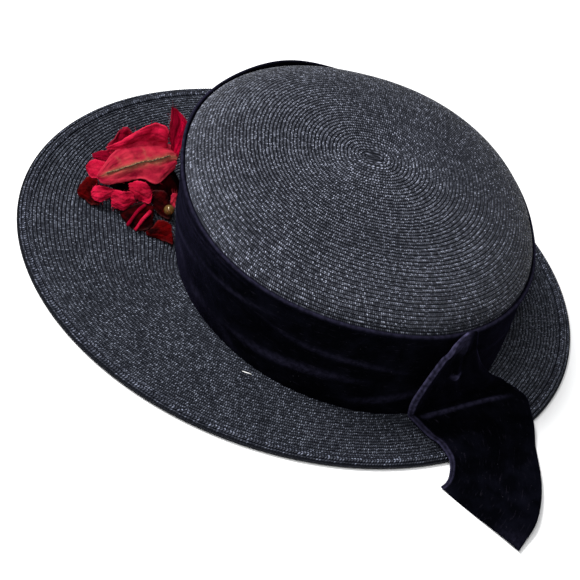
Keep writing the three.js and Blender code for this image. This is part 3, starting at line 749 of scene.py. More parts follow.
# %% Hat band: creases and bulges
CREASES = [
    # middle and width round the hat in degrees; height at start and end; rise; width
    {"middle": 300, "width": 26, "start": 50, "end": 55, "rise": 0.8, "wide": 1.2},
    {"middle": 295, "width": 34, "start": 43, "end": 52, "rise": 0.7, "wide": 1.4},
    {"middle": 318, "width": 24, "start": 36, "end": 48, "rise": 0.7, "wide": 2.0},
    {"middle": 285, "width": 22, "start": 22, "end": 34, "rise": 0.9, "wide": 3.0},
    {"middle": 338, "width": 26, "start": 14, "end": 24, "rise": 1.1, "wide": 3.6},
    {"middle": 352, "width": 30, "start": 40, "end": 30, "rise": 0.8, "wide": 2.6},
    {"middle": 12, "width": 20, "start": 8, "end": 20, "rise": 0.9, "wide": 3.2},
    {"middle": 60, "width": 30, "start": 40, "end": 26, "rise": 0.7, "wide": 3.0},
    {"middle": 110, "width": 40, "start": 22, "end": 34, "rise": 0.8, "wide": 3.0},
    {"middle": 175, "width": 45, "start": 44, "end": 30, "rise": 0.8, "wide": 2.6},
    {"middle": 240, "width": 36, "start": 28, "end": 44, "rise": 0.8, "wide": 2.4},
]


def crease_rise(turn, z):
    """Sum of ridges: bell across its line, bell along the hat, the line tilting evenly."""
    rise = 0 * turn * z
    for crease in CREASES:
        away = np.degrees(away_from(turn, crease["middle"]))
        share = np.clip(away / (2 * crease["width"]) + 0.5, 0, 1)
        line = crease["start"] + (crease["end"] - crease["start"]) * share
        line = line + 0.9 * np.sin(away / 6)
        ridge = bell(z, line, crease["wide"]) * bell(away, 0, crease["width"])
        rise = rise + crease["rise"] * ridge
    return rise


def band_bulge(turn, z):
    """The solid's own slow bulges, in millimetres."""
    low = 1 - ease(z, 2.3, 34)
    waves = 0.5 * np.sin(5 * turn + z / 11) + 0.35 * np.sin(9 * turn - z / 7)
    return 0.6 + 0.6 * waves + low * (0.7 + 1.5 * bump_at(turn, 20, 60))


def far_fold(turn):
    """Share of the fold that stands proud at the far side: a bell curve at 201 degrees."""
    return bump_at(turn, 201, 20)


def near_roll(turn):
    """Share of the outward roll at the near side: a bell curve at 12 degrees."""
    return bump_at(turn, 12, 26)


# %% Hat band: its section carried round
BAND_AROUND = 380
BAND_FOOT = BRIM_THICK + 0.15
band_turn = (TURN * np.arange(BAND_AROUND) / BAND_AROUND)[:, None]
top = WALL_TOP + 0.6 + 3.5 * far_fold(band_turn) + 0.35 * ripple(band_turn * 3, 3, 3)
flare = 3.4 * far_fold(band_turn) + 1.3 * near_roll(band_turn)
rise = np.linspace(0, 1, 40)[None, :]
z_out = BAND_FOOT + (top - 5 - BAND_FOOT) * rise
rolled = ease(z_out, 46, 58)
offset_out = BAND_EASE + VELVET + band_bulge(band_turn, np.minimum(z_out, 42)) * (1 - 0.75 * rolled)
offset_out = offset_out + rolled * (0.5 + 0.7 * flare) + 0.85 * crease_rise(band_turn, z_out) - 0.3
lip = np.radians(np.linspace(-70, 200, 11))[None, :]
lip_middle = BAND_EASE + VELVET * 0.65 + 0.5 + flare * 0.95
z_lip = top - 1.7 + 1.6 * np.sin(lip)
offset_lip = lip_middle + 1.15 * np.cos(lip)
z_in = top - 3 - (top - 3 - BAND_FOOT) * np.linspace(0, 1, 8)[None, :]
offset_in = BAND_EASE + flare * 0.6 * ease(z_in, 46, 58) - 0.3
z_band = np.concatenate([z_out, z_lip, z_in], 1)
offset_band = np.concatenate([offset_out, offset_lip, offset_in], 1)
band_points = wall_point(band_turn + 0 * z_band, np.minimum(z_band, WALL_TOP), offset_band)
band_points[..., 2] = z_band
faces = grid_faces(BAND_AROUND, z_band.shape[1], close_rows=True, close_columns=True)
round_band = TURN * CROWN_RADIUS * np.arange(BAND_AROUND + 1) / BAND_AROUND
corners = turned_over(grid_corners(round_band, np.append(z_band.mean(0), z_band[0, 0])))

# %% Hat band: where its pile gets a painted sheen
# painted sheen on the band: on the crease ridges, in blotches low on the side towards the key light,
# and along the rolled top edge
ridges = crease_rise(band_turn, z_out)
blotch = bump_at(band_turn, 292, 26) + 0.7 * bump_at(band_turn, 255, 20)
low_line = 9 + 7 * np.sin(5 * band_turn + 1) + 3 * np.sin(13 * band_turn)
sheen_low = blotch * bell(z_out, low_line, 3.2) * (0.6 + 0.4 * np.sin(23 * band_turn))
sheen_out = 0.30 * np.clip(ridges - 0.35, 0, 1) + 0.22 * np.clip(sheen_low, 0, 1)
sheen_lip = 0.30 * bell(np.degrees(lip), 60, 45) + 0 * band_turn
painted_light_and_dust = np.concatenate([sheen_out, sheen_lip, 0 * z_in], 1)
band = mesh_piece("velvet_band", band_points.reshape(-1, 3), faces[:, ::-1], corners, painted_light_and_dust)
dress(band, VELVET_FINISH, "velvet", "hat_band")

# %% [markdown]
# ## Ribbon end
#
# The loose end of the ribbon is pinched under the band's top, fans out as it comes down
# the wall, bends over the brim and its edge, and lies on the surface in front with a
# slanted cut. Its two edges are smooth curves through the same stations that the solid
# uses, and the cloth spans them, which keeps the fall and the cut of this very ribbon.
# Folds radiate from the pinch, and one edge curls up in a narrow roll.

# %% Ribbon end: its edges
TAIL_STATIONS = np.array([
    # left edge x y z, right edge x y z
    [92, 41, 61.5, 90, 47, 61],
    [96, 36.5, 49, 87, 54, 47],
    [99.5, 32.5, 33, 82, 64, 31],
    [102.5, 29.5, 15, 74, 78, 16],
    [103, 30, 6, 67, 91, 6],
    [110, 37, 3.2, 71, 100, 3.2],
    [121, 47, 3.2, 90, 103, 3.2],
    [131, 51, 3.2, 112, 104, 3.2],
    [138, 51, 3.2, 136, 103, 3.2],
    [141.5, 49.5, 3.2, 158, 97, 3.2],
    [144, 47, 3.2, 176, 86, 3.2],
])
RIBBON_WIDTH, RIBBON_THICK = 57, 1.2


def smooth_curve(points, share):
    """Centripetal Catmull-Rom curve through points, at shares 0..1 of the way along them.

    Each span is a cubic whose slopes weigh the square roots of the distances to the
    neighbouring points.
    """
    ends = np.concatenate([[2 * points[0] - points[1]], points, [2 * points[-1] - points[-2]]])
    place = share * (len(points) - 1)
    span = np.minimum(place.astype(int), len(points) - 2)
    t = (place - span)[:, None]
    a, b, c, d = (ends[span + n] for n in range(4))
    gap_a, gap_b, gap_c = (np.sqrt(np.linalg.norm(q - p, axis=1))[:, None]
                           for p, q in ((a, b), (b, c), (c, d)))
    slope_b = ((b - a) / gap_a - (c - a) / (gap_a + gap_b) + (c - b) / gap_b) * gap_b
    slope_c = ((c - b) / gap_b - (d - b) / (gap_b + gap_c) + (d - c) / gap_c) * gap_b
    return (b + slope_b * t + (-3 * b + 3 * c - 2 * slope_b - slope_c) * t**2
            + (2 * b - 2 * c + slope_b + slope_c) * t**3)


def clear_of_band(points, distance):
    """Moves points out from the crown's axis until they clear the band by a distance."""
    rise = np.clip(points[..., 2] / WALL_TOP, 0, 1)
    centre = -CROWN_LEAN * rise
    turn = np.arctan2(points[..., 1] - centre, points[..., 0])
    top = BAND_EASE + VELVET + 2.6 + 1.4 * near_roll(turn) + 3.6 * far_fold(turn)
    low = BAND_EASE + VELVET + band_bulge(turn, points[..., 2]) + 0.4
    z = points[..., 2]
    limit = wall_point(turn, np.minimum(z, WALL_TOP), distance + low + (top - low) * ease(z, 40, 54))
    have = np.hypot(points[..., 0], points[..., 1] - centre)
    need = np.hypot(limit[..., 0], limit[..., 1] - centre)
    grow = np.where((have < need) & (z < WALL_TOP + 8), need / have, 1.0)
    return np.stack([points[..., 0] * grow, centre + (points[..., 1] - centre) * grow, z], -1)


# %% Ribbon end: the cloth
def lie_height(x, y):
    """Height of the cloth's lower face over the brim, its edge braid and the surface."""
    out = outside_brim(x, y)
    on_edge = ease(out, -EDGE_WIDTH - 9, -EDGE_WIDTH)
    return (1 - ease(out, 0.5, 13)) * (BRIM_THICK + GAP + 2 * on_edge)


# a is the share of the way along the cloth, and c the share across it, which is finer
# towards the rolled edge
TAIL_ALONG, TAIL_ACROSS = 150, 72
a, c = np.linspace(0, 1, TAIL_ALONG)[:, None], np.linspace(0, 1, TAIL_ACROSS)[None, :] ** 1.5
left_edge = smooth_curve(TAIL_STATIONS[:, :3], a[:, 0])
right_edge = smooth_curve(TAIL_STATIONS[:, 3:], a[:, 0])
tail = left_edge[:, None] + (right_edge - left_edge)[:, None] * c[..., None]
fanned = 1 - ease(a, 0.32, 0.45)
tail[..., 2] += fanned * 3 * np.sin(np.pi * c) * np.sin(3 * np.pi * c) * a
tail = clear_of_band(tail, RIBBON_THICK / 2 + 0.2)

# %% Ribbon end: folds that spread from the pinch, as ridges along the cloth's length
folds = 0.9 * np.sin(TURN * (2.6 * c + 0.5 * a)) + 0.5 * np.sin(TURN * (4.7 * c - 0.6 * a) + 1.1)
lift = fanned * ease(a, 0.01, 0.1) * (1.0 + folds) * 0.9
side_fold = 1.3 * bell(a, 0.21, 0.018) * bell(c, 0.48, 0.14)
cross_line = bell(a, 0.445 + 0.05 * c, 0.011) * ease(c, 0.05, 0.15) * (1 - ease(c, 0.7, 0.95))
away = unit(np.stack([tail[..., 0], tail[..., 1] + CROWN_LEAN / 2, 0 * tail[..., 2]], -1))
tail += away * (lift + side_fold)[..., None]

# %% Ribbon end: how it lies, and the roll of its edge
wave = 1.4 * np.sin(TURN * c + 9 * a) * ease(a, 0.4, 0.55)
wave = wave + 0.5 * ripple(7 * a + 3 * c, 21, 3) * ease(a, 0.42, 0.6)
free = 1 - 0.6 * ease(a, 0.9, 1)
floor = lie_height(tail[..., 0], tail[..., 1]) + RIBBON_THICK / 2
lying = ease(a, 0.36, 0.47)
lifted = floor + (1 + wave) * 0.9 * free * lying
towards_cut = 1 - ease(a, 0.72, 0.95)
edge_roll = 1.2 * bell(c, 0.03, 0.035) * ease(a, 0.02, 0.1) * towards_cut
tail[..., 2] = np.maximum(tail[..., 2] * (1 - lying) + lifted * lying, floor)
tail[..., 2] += edge_roll * lying + 0.9 * cross_line
tail[..., 1] -= 2.6 * bell(c, 0, 0.07) * ease(a, 0.0, 0.06) * (1 - ease(a, 0.26, 0.42))
tail[..., 2] += 2.2 * (1 - ease(a, 0.0, 0.08))
tail += away * (edge_roll * (1 - lying) * 1.6)[..., None]

# %% Ribbon end: its lengths, its painted sheen and its piece
steps_down, steps_over = steps_along(tail), steps_along(tail, axis=1)
corners = grid_corners(np.append(0, np.cumsum(steps_down.mean(1))), c[0] * RIBBON_WIDTH)
# painted sheen on the ribbon end: violet lines along the rolled left edge, the right edge near the
# pinch, round the pinch, on the side fold and the cross line, and a little at the tip of the cut
edge_lines = bell(c, 0.003, 0.009) + 0.7 * bell(c, 0.034, 0.009)
left_strip = np.clip(edge_lines + 0.25 * (1 - ease(c, 0.03, 0.045)), 0, 1)
left_strip = left_strip * (0.5 + 0.5 * (1 - ease(a, 0.3, 0.45)))
right_strip = 0.45 * ease(c, 0.965, 0.99) * (1 - ease(a, 0.12, 0.22))
pinch = 0.42 * (1 - ease(a, 0.03, 0.13)) * (1 - ease(c, 0.15, 0.75))
spots = 0.6 * side_fold * ease(side_fold, 0.5, 1.2) + 0.4 * cross_line
tip_spot = 0.10 * ease(a, 0.93, 1.0) * ease(c, 0.6, 0.9)
painted_light_and_dust = left_strip + right_strip + pinch + spots + tip_spot
faces = grid_faces(*tail.shape[:2])
ribbon = mesh_piece("velvet_ribbon_end", tail.reshape(-1, 3), faces, corners, painted_light_and_dust)
thicken(ribbon, RIBBON_THICK)
dress(ribbon, VELVET_FINISH, "velvet", "ribbon_tail")

# %% [markdown]
# ## Petal cloth
#
# The flower is cut from thin crimson cloth that has faded and frayed. It is paler along
# its frayed edges, where a painted highlight also lies, and where petals shade each other
# it is painted deeper: the dark, deep and shaded cloths are darker copies of the crimson,
# as painted shade. Five cloths share one recipe: two tones mixed by noise, a third tone
# along the middle and where the piece's share says (dust, and painted light), and a fine
# weave in the bump. A recipe with a table of colours keeps them kin.

# %% Petal cloth
def petal_cloth(name, cloth):
    """Deep and bright by noise, a third tone along the middle and by the piece's share (dust and
    painted light), paler edges with a painted highlight, woven bump.
    """
    material, tree, shader = fresh_material(name)
    along, across = own_map(tree)
    middle = calc(tree, "ABSOLUTE", across)
    tone = spread(tree, cloudy(tree, 160, 4.0), 0.35, 0.68)
    colour = mixed(tree, tone, cloth["deep"], cloth["bright"])
    streaks = spread(tree, cloudy(tree, 420, 3.0), 0.35, 0.7)
    # a third tone along the middle: dust on the crimson and faded cloths, darker painted shade on the
    # deep and shaded ones
    dust = times(tree, spread(tree, middle, 0.0, 0.55, cloth["dust"], 0.0), streaks)
    colour = mixed(tree, dust, colour, cloth["dust_and_painted_light"])
    streaked = calc(tree, "MULTIPLY_ADD", streaks, 0.5, 0.5)
    # the third tone where the piece's share says: dust on the vein, painted crease highlights, painted
    # light on the upright petal's lit side
    colour = mixed(tree, times(tree, light_and_dust_share(tree), streaked), colour, cloth["dust_and_painted_light"])
    # paler towards each edge: frayed cloth, with a painted highlight along it
    pale_edge = times(tree, spread(tree, middle, 0.82, 1.0), 0.45)
    colour = mixed(tree, pale_edge, colour, tuple(min(1.0, 1.5 * c + 0.02) for c in cloth["bright"]))
    tree.links.new(colour, shader.inputs["Base Color"])
    weave = times(tree, calc(tree, "SINE", times(tree, along, 900.0)),
                  calc(tree, "SINE", times(tree, across, 130.0)), 0.12)
    relief = calc(tree, "MULTIPLY_ADD", cloudy(tree, 700, 3.0), 1.2, weave)
    bumped(tree, shader, relief, 0.00045, 0.8)
    settle(shader, {"Roughness": 0.8, "Specular IOR Level": 0.02})
    return material


CLOTHS = {
    # the cloth's slot, its deep and bright tones, a third tone of dust and painted light, and how much
    # of the third tone its middle takes
    "crimson": {"slot": "crimson_cloth", "deep": (0.24, 0.0015, 0.014),
                "bright": (0.49, 0.008, 0.041), "dust_and_painted_light": (0.42, 0.03, 0.055), "dust": 0.3},
    "faded": {"slot": "faded_cloth", "deep": (0.22, 0.004, 0.020),
              "bright": (0.38, 0.018, 0.038), "dust_and_painted_light": (0.24, 0.10, 0.055), "dust": 0.2},
    # dark, deep and shaded are darker copies of the crimson cloth, painted shade for pieces that lie in
    # the others' shade; on deep and shaded the middle's third tone darkens them further
    "dark": {"slot": "dark_cloth", "deep": (0.11, 0.0005, 0.007),
             "bright": (0.22, 0.0010, 0.015), "dust_and_painted_light": (0.80, 0.003, 0.050), "dust": 0.0},
    "deep": {"slot": "dark_cloth", "deep": (0.004, 0.0002, 0.0004),
             "bright": (0.095, 0.0003, 0.001), "dust_and_painted_light": (0.012, 0.0002, 0.0005), "dust": 0.6},
    "shaded": {"slot": "dark_cloth", "deep": (0.0006, 0.0001, 0.0002),
               "bright": (0.034, 0.0002, 0.0010), "dust_and_painted_light": (0.001, 0.0001, 0.0002), "dust": 0.9},
}
for name, cloth in CLOTHS.items():
    cloth["material"] = petal_cloth(name + "_petal_cloth", cloth)
print("petal cloths:", ", ".join(CLOTHS))

# %% [markdown]
# ## Petals
#
# Every petal is spanned between two curves, its far and its near edge, through the same
# stations as its solid. Across it the cloth bulges a little, and its sides wave. On top
# of that each one is crumpled, and its outline is ragged: the edges wander in and out
# from place to place. Simulated petals would slide off their places, and these stay where
# the flower has them.

# %% Petals: places
PETALS = {
    # stations along each petal: (x, y, z) of its far edge and of its near edge
    "vein_petal": {"cloth": "faded", "arch": 3, "wave": 0.5, "crease": 0.8, "stations": [
        ((-15.5, -146, 17), (-14.5, -145.5, 16.5)),
        ((-24, -143, 19), (-12.5, -142, 15.5)),
        ((-33, -139, 20), (-14.5, -136, 15)),
        ((-40, -133, 21), (-20, -127.5, 15)),
        ((-45, -124.5, 22), (-22.5, -120.5, 15.5)),
        ((-48.5, -115, 23), (-22, -113, 15)),
        ((-48.5, -107.5, 23), (-30, -106.5, 17)),
        ((-44.5, -102.5, 22), (-36, -102, 19)),
    ]},
    "back_petal_left": {"cloth": "dark", "arch": 1, "wave": 0.4, "stations": [
        ((-40, -142, 19), (-37, -141, 14)),
        ((-44, -139, 22), (-38, -138, 10)),
        ((-48.5, -137, 25), (-39, -134.5, 9)),
        ((-49, -135.5, 27), (-40, -131.5, 9)),
        ((-49.5, -132.5, 27), (-41, -129, 10)),
        ((-48, -129, 25), (-42, -127, 14)),
    ]},
    "back_petal_right": {"cloth": "crimson", "arch": 1.5, "wave": 0.5, "stations": [
        ((-36.5, -143.5, 21), (-36.5, -141, 18)),
        ((-39, -137.5, 24), (-36, -136.5, 16)),
        ((-42, -132, 27), (-39, -130.5, 15)),
        ((-46, -127, 30), (-42, -124.5, 14)),
        ((-48.5, -121.5, 33), (-44, -118, 13)),
        ((-49.5, -117.5, 35), (-45.5, -113, 13)),
        ((-47.5, -112, 35), (-46, -109, 15)),
        ((-46.5, -110, 31), (-46, -108, 20)),
    ]},
    "upright_petal": {"cloth": "dark", "arch": 1, "wave": 0.3, "stations": [
        ((-44.5, -107, 10), (-41, -102.5, 10)),
        ((-46, -107.5, 24), (-42.5, -102, 24)),
        ((-47, -109.5, 29), (-45, -101.5, 29)),
        ((-48.5, -110.5, 34), (-46.5, -101.5, 35)),
        ((-50, -111, 40), (-48.5, -101.5, 40)),
        ((-51, -112, 44), (-49.5, -105, 44)),
        ((-51.5, -112.5, 47), (-51, -110, 47)),
    ]},
    "side_petal": {"cloth": "dark", "arch": 1, "wave": 0.4, "stations": [
        ((-37, -149.5, 14), (-34.5, -148.5, 13)),
        ((-37.5, -146, 16), (-32.5, -144, 14)),
        ((-38, -140.5, 18), (-33, -139, 15)),
        ((-40.5, -135.5, 19), (-34.5, -135, 17)),
    ]},
    "outer_petal": {"cloth": "crimson", "arch": 2, "wave": 0.4, "stations": [
        ((-29, -151.5, 12), (-26, -151, 11)),
        ((-30.5, -149.5, 14), (-21, -148, 11)),
        ((-30.5, -146, 15.5), (-19, -144.5, 12.5)),
        ((-29.5, -142, 17), (-17.5, -141.5, 14)),
    ]},
    "corner_petal": {"cloth": "deep", "arch": 1.5, "wave": 0.4, "stations": [
        ((-16, -154, 4), (-12.5, -153.5, 3.5)),
        ((-19, -152.5, 7), (-11, -149.5, 3)),
        ((-23, -148.5, 10), (-8, -145.5, 3)),
        ((-20.5, -144.5, 12), (-8, -141, 3)),
    ]},
    "low_petal_left": {"cloth": "crimson", "arch": 1.5, "wave": 0.3, "stations": [
        ((-11, -147, 9), (-10, -146, 7)),
        ((-13, -146, 12), (-7, -143.5, 7)),
        ((-13.5, -143, 13), (-6.5, -141, 8)),
        ((-13, -139, 13), (-9.5, -137.5, 9)),
        ((-13, -136, 13), (-10.5, -135, 10)),
    ]},
    "low_petal_middle": {"cloth": "crimson", "arch": 1.5, "wave": 0.4, "stations": [
        ((-13, -137.5, 12.5), (-6, -135, 6)),
        ((-13, -133.5, 13), (-6.5, -131.5, 5.5)),
        ((-12.5, -129.5, 13), (-6.5, -127.5, 5)),
        ((-13.5, -126.5, 13), (-9.5, -124, 7)),
        ((-12.5, -123.5, 11.5), (-10.5, -122.5, 9)),
    ]},
    "low_petal_right": {"cloth": "crimson", "arch": 2, "wave": 0.6, "stations": [
        ((-18.5, -128, 14), (-15.5, -126, 11)),
        ((-19.5, -125, 15.5), (-13, -122, 10)),
        ((-20, -122, 16), (-12, -118.5, 9)),
        ((-20, -117.5, 15), (-11, -115, 9)),
        ((-18.5, -114.5, 13), (-15, -114, 11)),
    ]},
    "inner_petal": {"cloth": "shaded", "arch": 1, "wave": 0.5, "stations": [
        ((-19, -114.5, 11.5), (-12, -112, 6.5)),
        ((-20.5, -111, 12), (-8, -106, 5)),
        ((-20.5, -107, 12), (-7, -102.5, 5)),
        ((-19, -104.5, 11), (-10.5, -101.5, 6.5)),
    ]},
    "under_petal": {"cloth": "shaded", "arch": 1.5, "wave": 0.5, "stations": [
        ((-6, -129.5, 4), (-5, -129, 3)),
        ((-7.5, -126, 6.5), (2, -124, 3)),
        ((-10, -121.5, 8), (5.5, -119.5, 3)),
        ((-12, -116.5, 8.5), (4, -114.5, 3.5)),
        ((-11.5, -112, 9), (0.5, -110.5, 4)),
    ]},
    "edge_petal": {"cloth": "deep", "arch": 1.5, "wave": 0.4, "stations": [
        ((6, -114.5, 4), (7, -114, 3)),
        ((3.5, -111, 6.5), (8, -108.5, 3)),
        ((1, -108.5, 9.5), (9.5, -105, 3.5)),
        ((0.5, -104.5, 9.5), (11, -101.5, 4)),
        ((1, -101.5, 9), (12, -99, 5)),
    ]},
    "pale_petal": {"cloth": "faded", "arch": 0.8, "wave": 0.2, "stations": [
        ((-16, -103.5, 14), (-13.5, -103, 11)),
        ((-17.5, -102, 15), (-12, -101, 10.5)),
        ((-17, -100.5, 15), (-11, -99.5, 11)),
    ]},
}
PETAL_THICK = 0.6
PETAL_FLOOR = BRIM_THICK + 0.9
BULGE_TOWARDS = np.array([0.7, -0.2, 0.7])


# %% Petals: shape
def petal_surface(name, u, v):
    """Far edge to near edge by v, plus up (arch (1 - v^2) sin(pi u) + wave + crumple).

    The ends and the sides are ragged by ripples, and the crumple is ripples too, deeper
    on a wider petal, with one pressed crease where the table has it.
    """
    petal = PETALS[name]
    seed = 40 + 7 * list(PETALS).index(name)
    stations = np.array(petal["stations"], float)
    shape, u, v = np.shape(u), np.ravel(u), np.ravel(v)
    ragged = 0.02 * ripple(11 * v + 3, seed, 3) + 0.012 * ripple(34 * v, seed + 5, 2)
    at = np.clip(0.02 + 0.96 * u - ragged * np.cos(np.pi * u), 0, 1)

    def edges(share):
        """The far and the near edge's points at shares of the way along the petal."""
        return [smooth_curve(stations[:, side], np.clip(share, 0, 1)) for side in (0, 1)]

    far, near = edges(at)
    forward = unit(sum(edges(at + 0.06)) / 2 - sum(edges(at - 0.06)) / 2)
    side = near - far
    width = np.linalg.norm(side, axis=1)
    up = unit(np.cross(side, forward))
    up *= np.where(up @ BULGE_TOWARDS < 0, -1.0, 1.0)[:, None]
    fray = 0.06 * ripple(8 * u + np.sign(v), seed + 1, 4)
    fray = fray + 0.4 / width * ripple(41 * u, seed + 2, 2) * ease(np.abs(v), 0.6, 1)
    lift = petal["arch"] * (1 - v**2) * np.sin(np.pi * (0.1 + 0.8 * u))
    lift = lift + petal["wave"] * np.sin(7 * u + 2.5 * v) * np.abs(v)
    creased = ripple(5 * u + 3 * v, seed + 3, 4) + 0.7 * ripple(8 * v - 4 * u, seed + 4, 4)
    pressed = petal.get("crease", 0) * bell(u, 0.50 + 0.09 * v, 0.018) * ease(-v, -0.2, 0.2)
    lift = lift + 0.045 * np.clip(width, 6, 18) * creased + pressed
    points = far + (0.5 + 0.5 * v * (1 + fray))[:, None] * side + lift[:, None] * up
    points = clear_of_band(points, 0.8)
    points[:, 2] = np.maximum(points[:, 2], PETAL_FLOOR)
    return points.reshape(*shape, 3)


# %% Petals: where the dust and the painted highlights lie
VEIN_SHARES = [0.6, 0.66, 0.69, 0.65, 0.51, 0.49]
# painted highlights: thin pale lines that stand for creases catching the light
CREASE_HIGHLIGHTS = [
    # place along the petal, and how far it slants
    (0.36, 0.09),
    (0.62, 0.05),
]


def vein_at(u):
    """Where the vein runs across its petal, as v, at each place u along it."""
    return 2 * np.interp(u, np.arange(1, 7) / 7, VEIN_SHARES) - 1


def vein_dust_and_highlights(u, v):
    """Share of dust and painted light: dust in a bell across the vein, and thin pale lines on its far
    side, highlights painted where it is creased.
    """
    dust = 0.95 * bell(v, vein_at(u), 0.17) * ease(u, 0.02, 0.12)
    for place, slant in CREASE_HIGHLIGHTS:
        line = bell(u, place + slant * v, 0.012)
        dust = dust + 0.35 * line * ease(-v, -0.25, 0.0) * (1 - ease(-v, 0.55, 0.8))
    return np.clip(dust, 0, 1)


# %% Petals: their pieces
PETAL_ALONG, PETAL_ACROSS = 60, 40
along, across = np.linspace(0, 1, PETAL_ALONG), np.linspace(-1, 1, PETAL_ACROSS)
u_grid, v_grid = np.meshgrid(along, across, indexing="ij")
PAINTED_LIGHT_AND_DUST = {
    # the share of the third tone at each point, for the petals that have it: dust with painted crease
    # highlights on the vein petal, painted light on the upright petal's lit side
    "vein_petal": vein_dust_and_highlights(u_grid, v_grid),
    # painted light on the upright petal's side towards the key light
    "upright_petal": 0.9 * ease(v_grid, -0.1, 0.5) * (1 - ease(u_grid, 0.8, 1.0)),
}
faces, corners = grid_faces(PETAL_ALONG, PETAL_ACROSS), grid_corners(along, across)
for name, petal in PETALS.items():
    points = petal_surface(name, u_grid, v_grid).reshape(-1, 3)
    piece = mesh_piece("cloth_" + name, points, faces, corners, PAINTED_LIGHT_AND_DUST.get(name))
    thicken(piece, PETAL_THICK)
    cloth = CLOTHS[petal["cloth"]]
    dress(piece, cloth["material"], cloth["slot"], name)

# %% [markdown]
# ## Heart, strips, wire and bead
#
# The petals are sewn to a gathered scrap of cloth, the heart, which fills the shade
# between them; it takes the shaded cloth, painted near black as painted shade. It is a
# half ball whose pleats are sines round it. Two narrow strips curl out from under the low
# petals. A thread-wound wire runs along the middle of the big petal: two tubes wind round
# each other, because a bump on one tube looks flat from the side. One amber glass bead is
# left of the flower's old centre.

# %% Heart of gathered cloth
HEART_MIDDLE, HEART_HALF, HEART_HEIGHT = (-35.0, -118.5), (14.5, 21.5), 15.5
HEART_AROUND, HEART_LEVELS = 120, 26
heart_turn = (TURN * np.arange(HEART_AROUND) / HEART_AROUND)[:, None]
level = np.linspace(0, 1, HEART_LEVELS)[None, :]
tilt = level * np.pi / 2
pleats = 0.07 * np.sin(7 * heart_turn) + 0.05 * np.sin(17 * heart_turn + 3 * level)
pleats = 1 + pleats * (1 - level)
pleats = pleats + 0.04 * ripple(heart_turn * 4 + 2 * level, 60, 3) * (1 - level)
shrink = np.cos(tilt) * pleats
tuft = 1 + 0.08 * np.sin(9 * heart_turn + 6 * level) * np.cos(tilt)
heart_points = np.stack([
    HEART_MIDDLE[0] + HEART_HALF[0] * shrink * np.cos(heart_turn),
    HEART_MIDDLE[1] + HEART_HALF[1] * shrink * np.sin(heart_turn),
    BRIM_THICK + 0.2 + HEART_HEIGHT * np.sin(tilt) * tuft,
], -1)
# a ring of points that all lie in the middle closes the heart below
floor_ring = heart_points[:, :1].copy()
floor_ring[..., :2] = np.array(HEART_MIDDLE)
heart_points = np.concatenate([floor_ring, heart_points], 1)
faces = grid_faces(HEART_AROUND, HEART_LEVELS + 1, close_rows=True)
corners = grid_corners(np.linspace(0, 6, HEART_AROUND + 1), np.linspace(0, 1, HEART_LEVELS + 1))
heart = mesh_piece("gathered_heart", heart_points.reshape(-1, 3), faces, corners)
# the heart takes the shaded cloth: painted shade
dress(heart, CLOTHS["shaded"]["material"], "dark_cloth", "flower_heart")


# %% Tubes along a path
ANY_WAY = [0.31, 0.17, 0.93]


def tube(path, radius, sides):
    """Circles of a given radius round a path: points, and the faces of its closed skin."""
    forward = unit(np.gradient(path, axis=0))
    across = unit(np.cross(forward, ANY_WAY))
    over = np.cross(across, forward)
    angle = (TURN * np.arange(sides) / sides)[None, :, None]
    ring = np.cos(angle) * across[:, None] + np.sin(angle) * over[:, None]
    points = path[:, None] + ring * np.reshape(radius, (-1, 1, 1))
    start, end = (np.tile(path[n][None, None], (1, sides, 1)) for n in (0, -1))
    points = np.concatenate([start, points, end])
    return points.reshape(-1, 3), grid_faces(len(path) + 2, sides, close_columns=True)[:, ::-1]


def joined(parts):
    """Several sets of points and faces as one."""
    points, faces, count = [], [], 0
    for part_points, part_faces in parts:
        points.append(part_points)
        faces.append(part_faces + count)
        count += len(part_points)
    return np.concatenate(points), np.concatenate(faces)


# %% Vein wire
STRAND_RADIUS, STRAND_SWING, WIRE_LIFT = 0.25, 0.26, 0.95
vein_u = np.linspace(1 / 7, 6 / 7, 120)
vein = petal_surface("vein_petal", vein_u, vein_at(vein_u)) + [0, 0, WIRE_LIFT]
wind = TURN * np.linspace(0, 15, 120)
strands = []
for phase in (0.0, np.pi):
    swing = [np.cos(wind + phase), 0 * wind, np.sin(wind + phase)]
    strands.append(tube(vein + STRAND_SWING * np.stack(swing, -1), STRAND_RADIUS, 6))
wire = mesh_piece("thread_wound_vein", *joined(strands))

WIRE_FINISH, tree, shader = fresh_material("wound_thread")
worn = spread(tree, cloudy(tree, 900), 0.4, 0.62)
brown = mixed(tree, worn, (0.035, 0.018, 0.007), (0.30, 0.17, 0.075))
tree.links.new(brown, shader.inputs["Base Color"])
settle(shader, {"Roughness": 0.5})
bumped(tree, shader, cloudy(tree, 3000), 0.0002)
dress(wire, WIRE_FINISH, "vein_wire", "vein_wire")

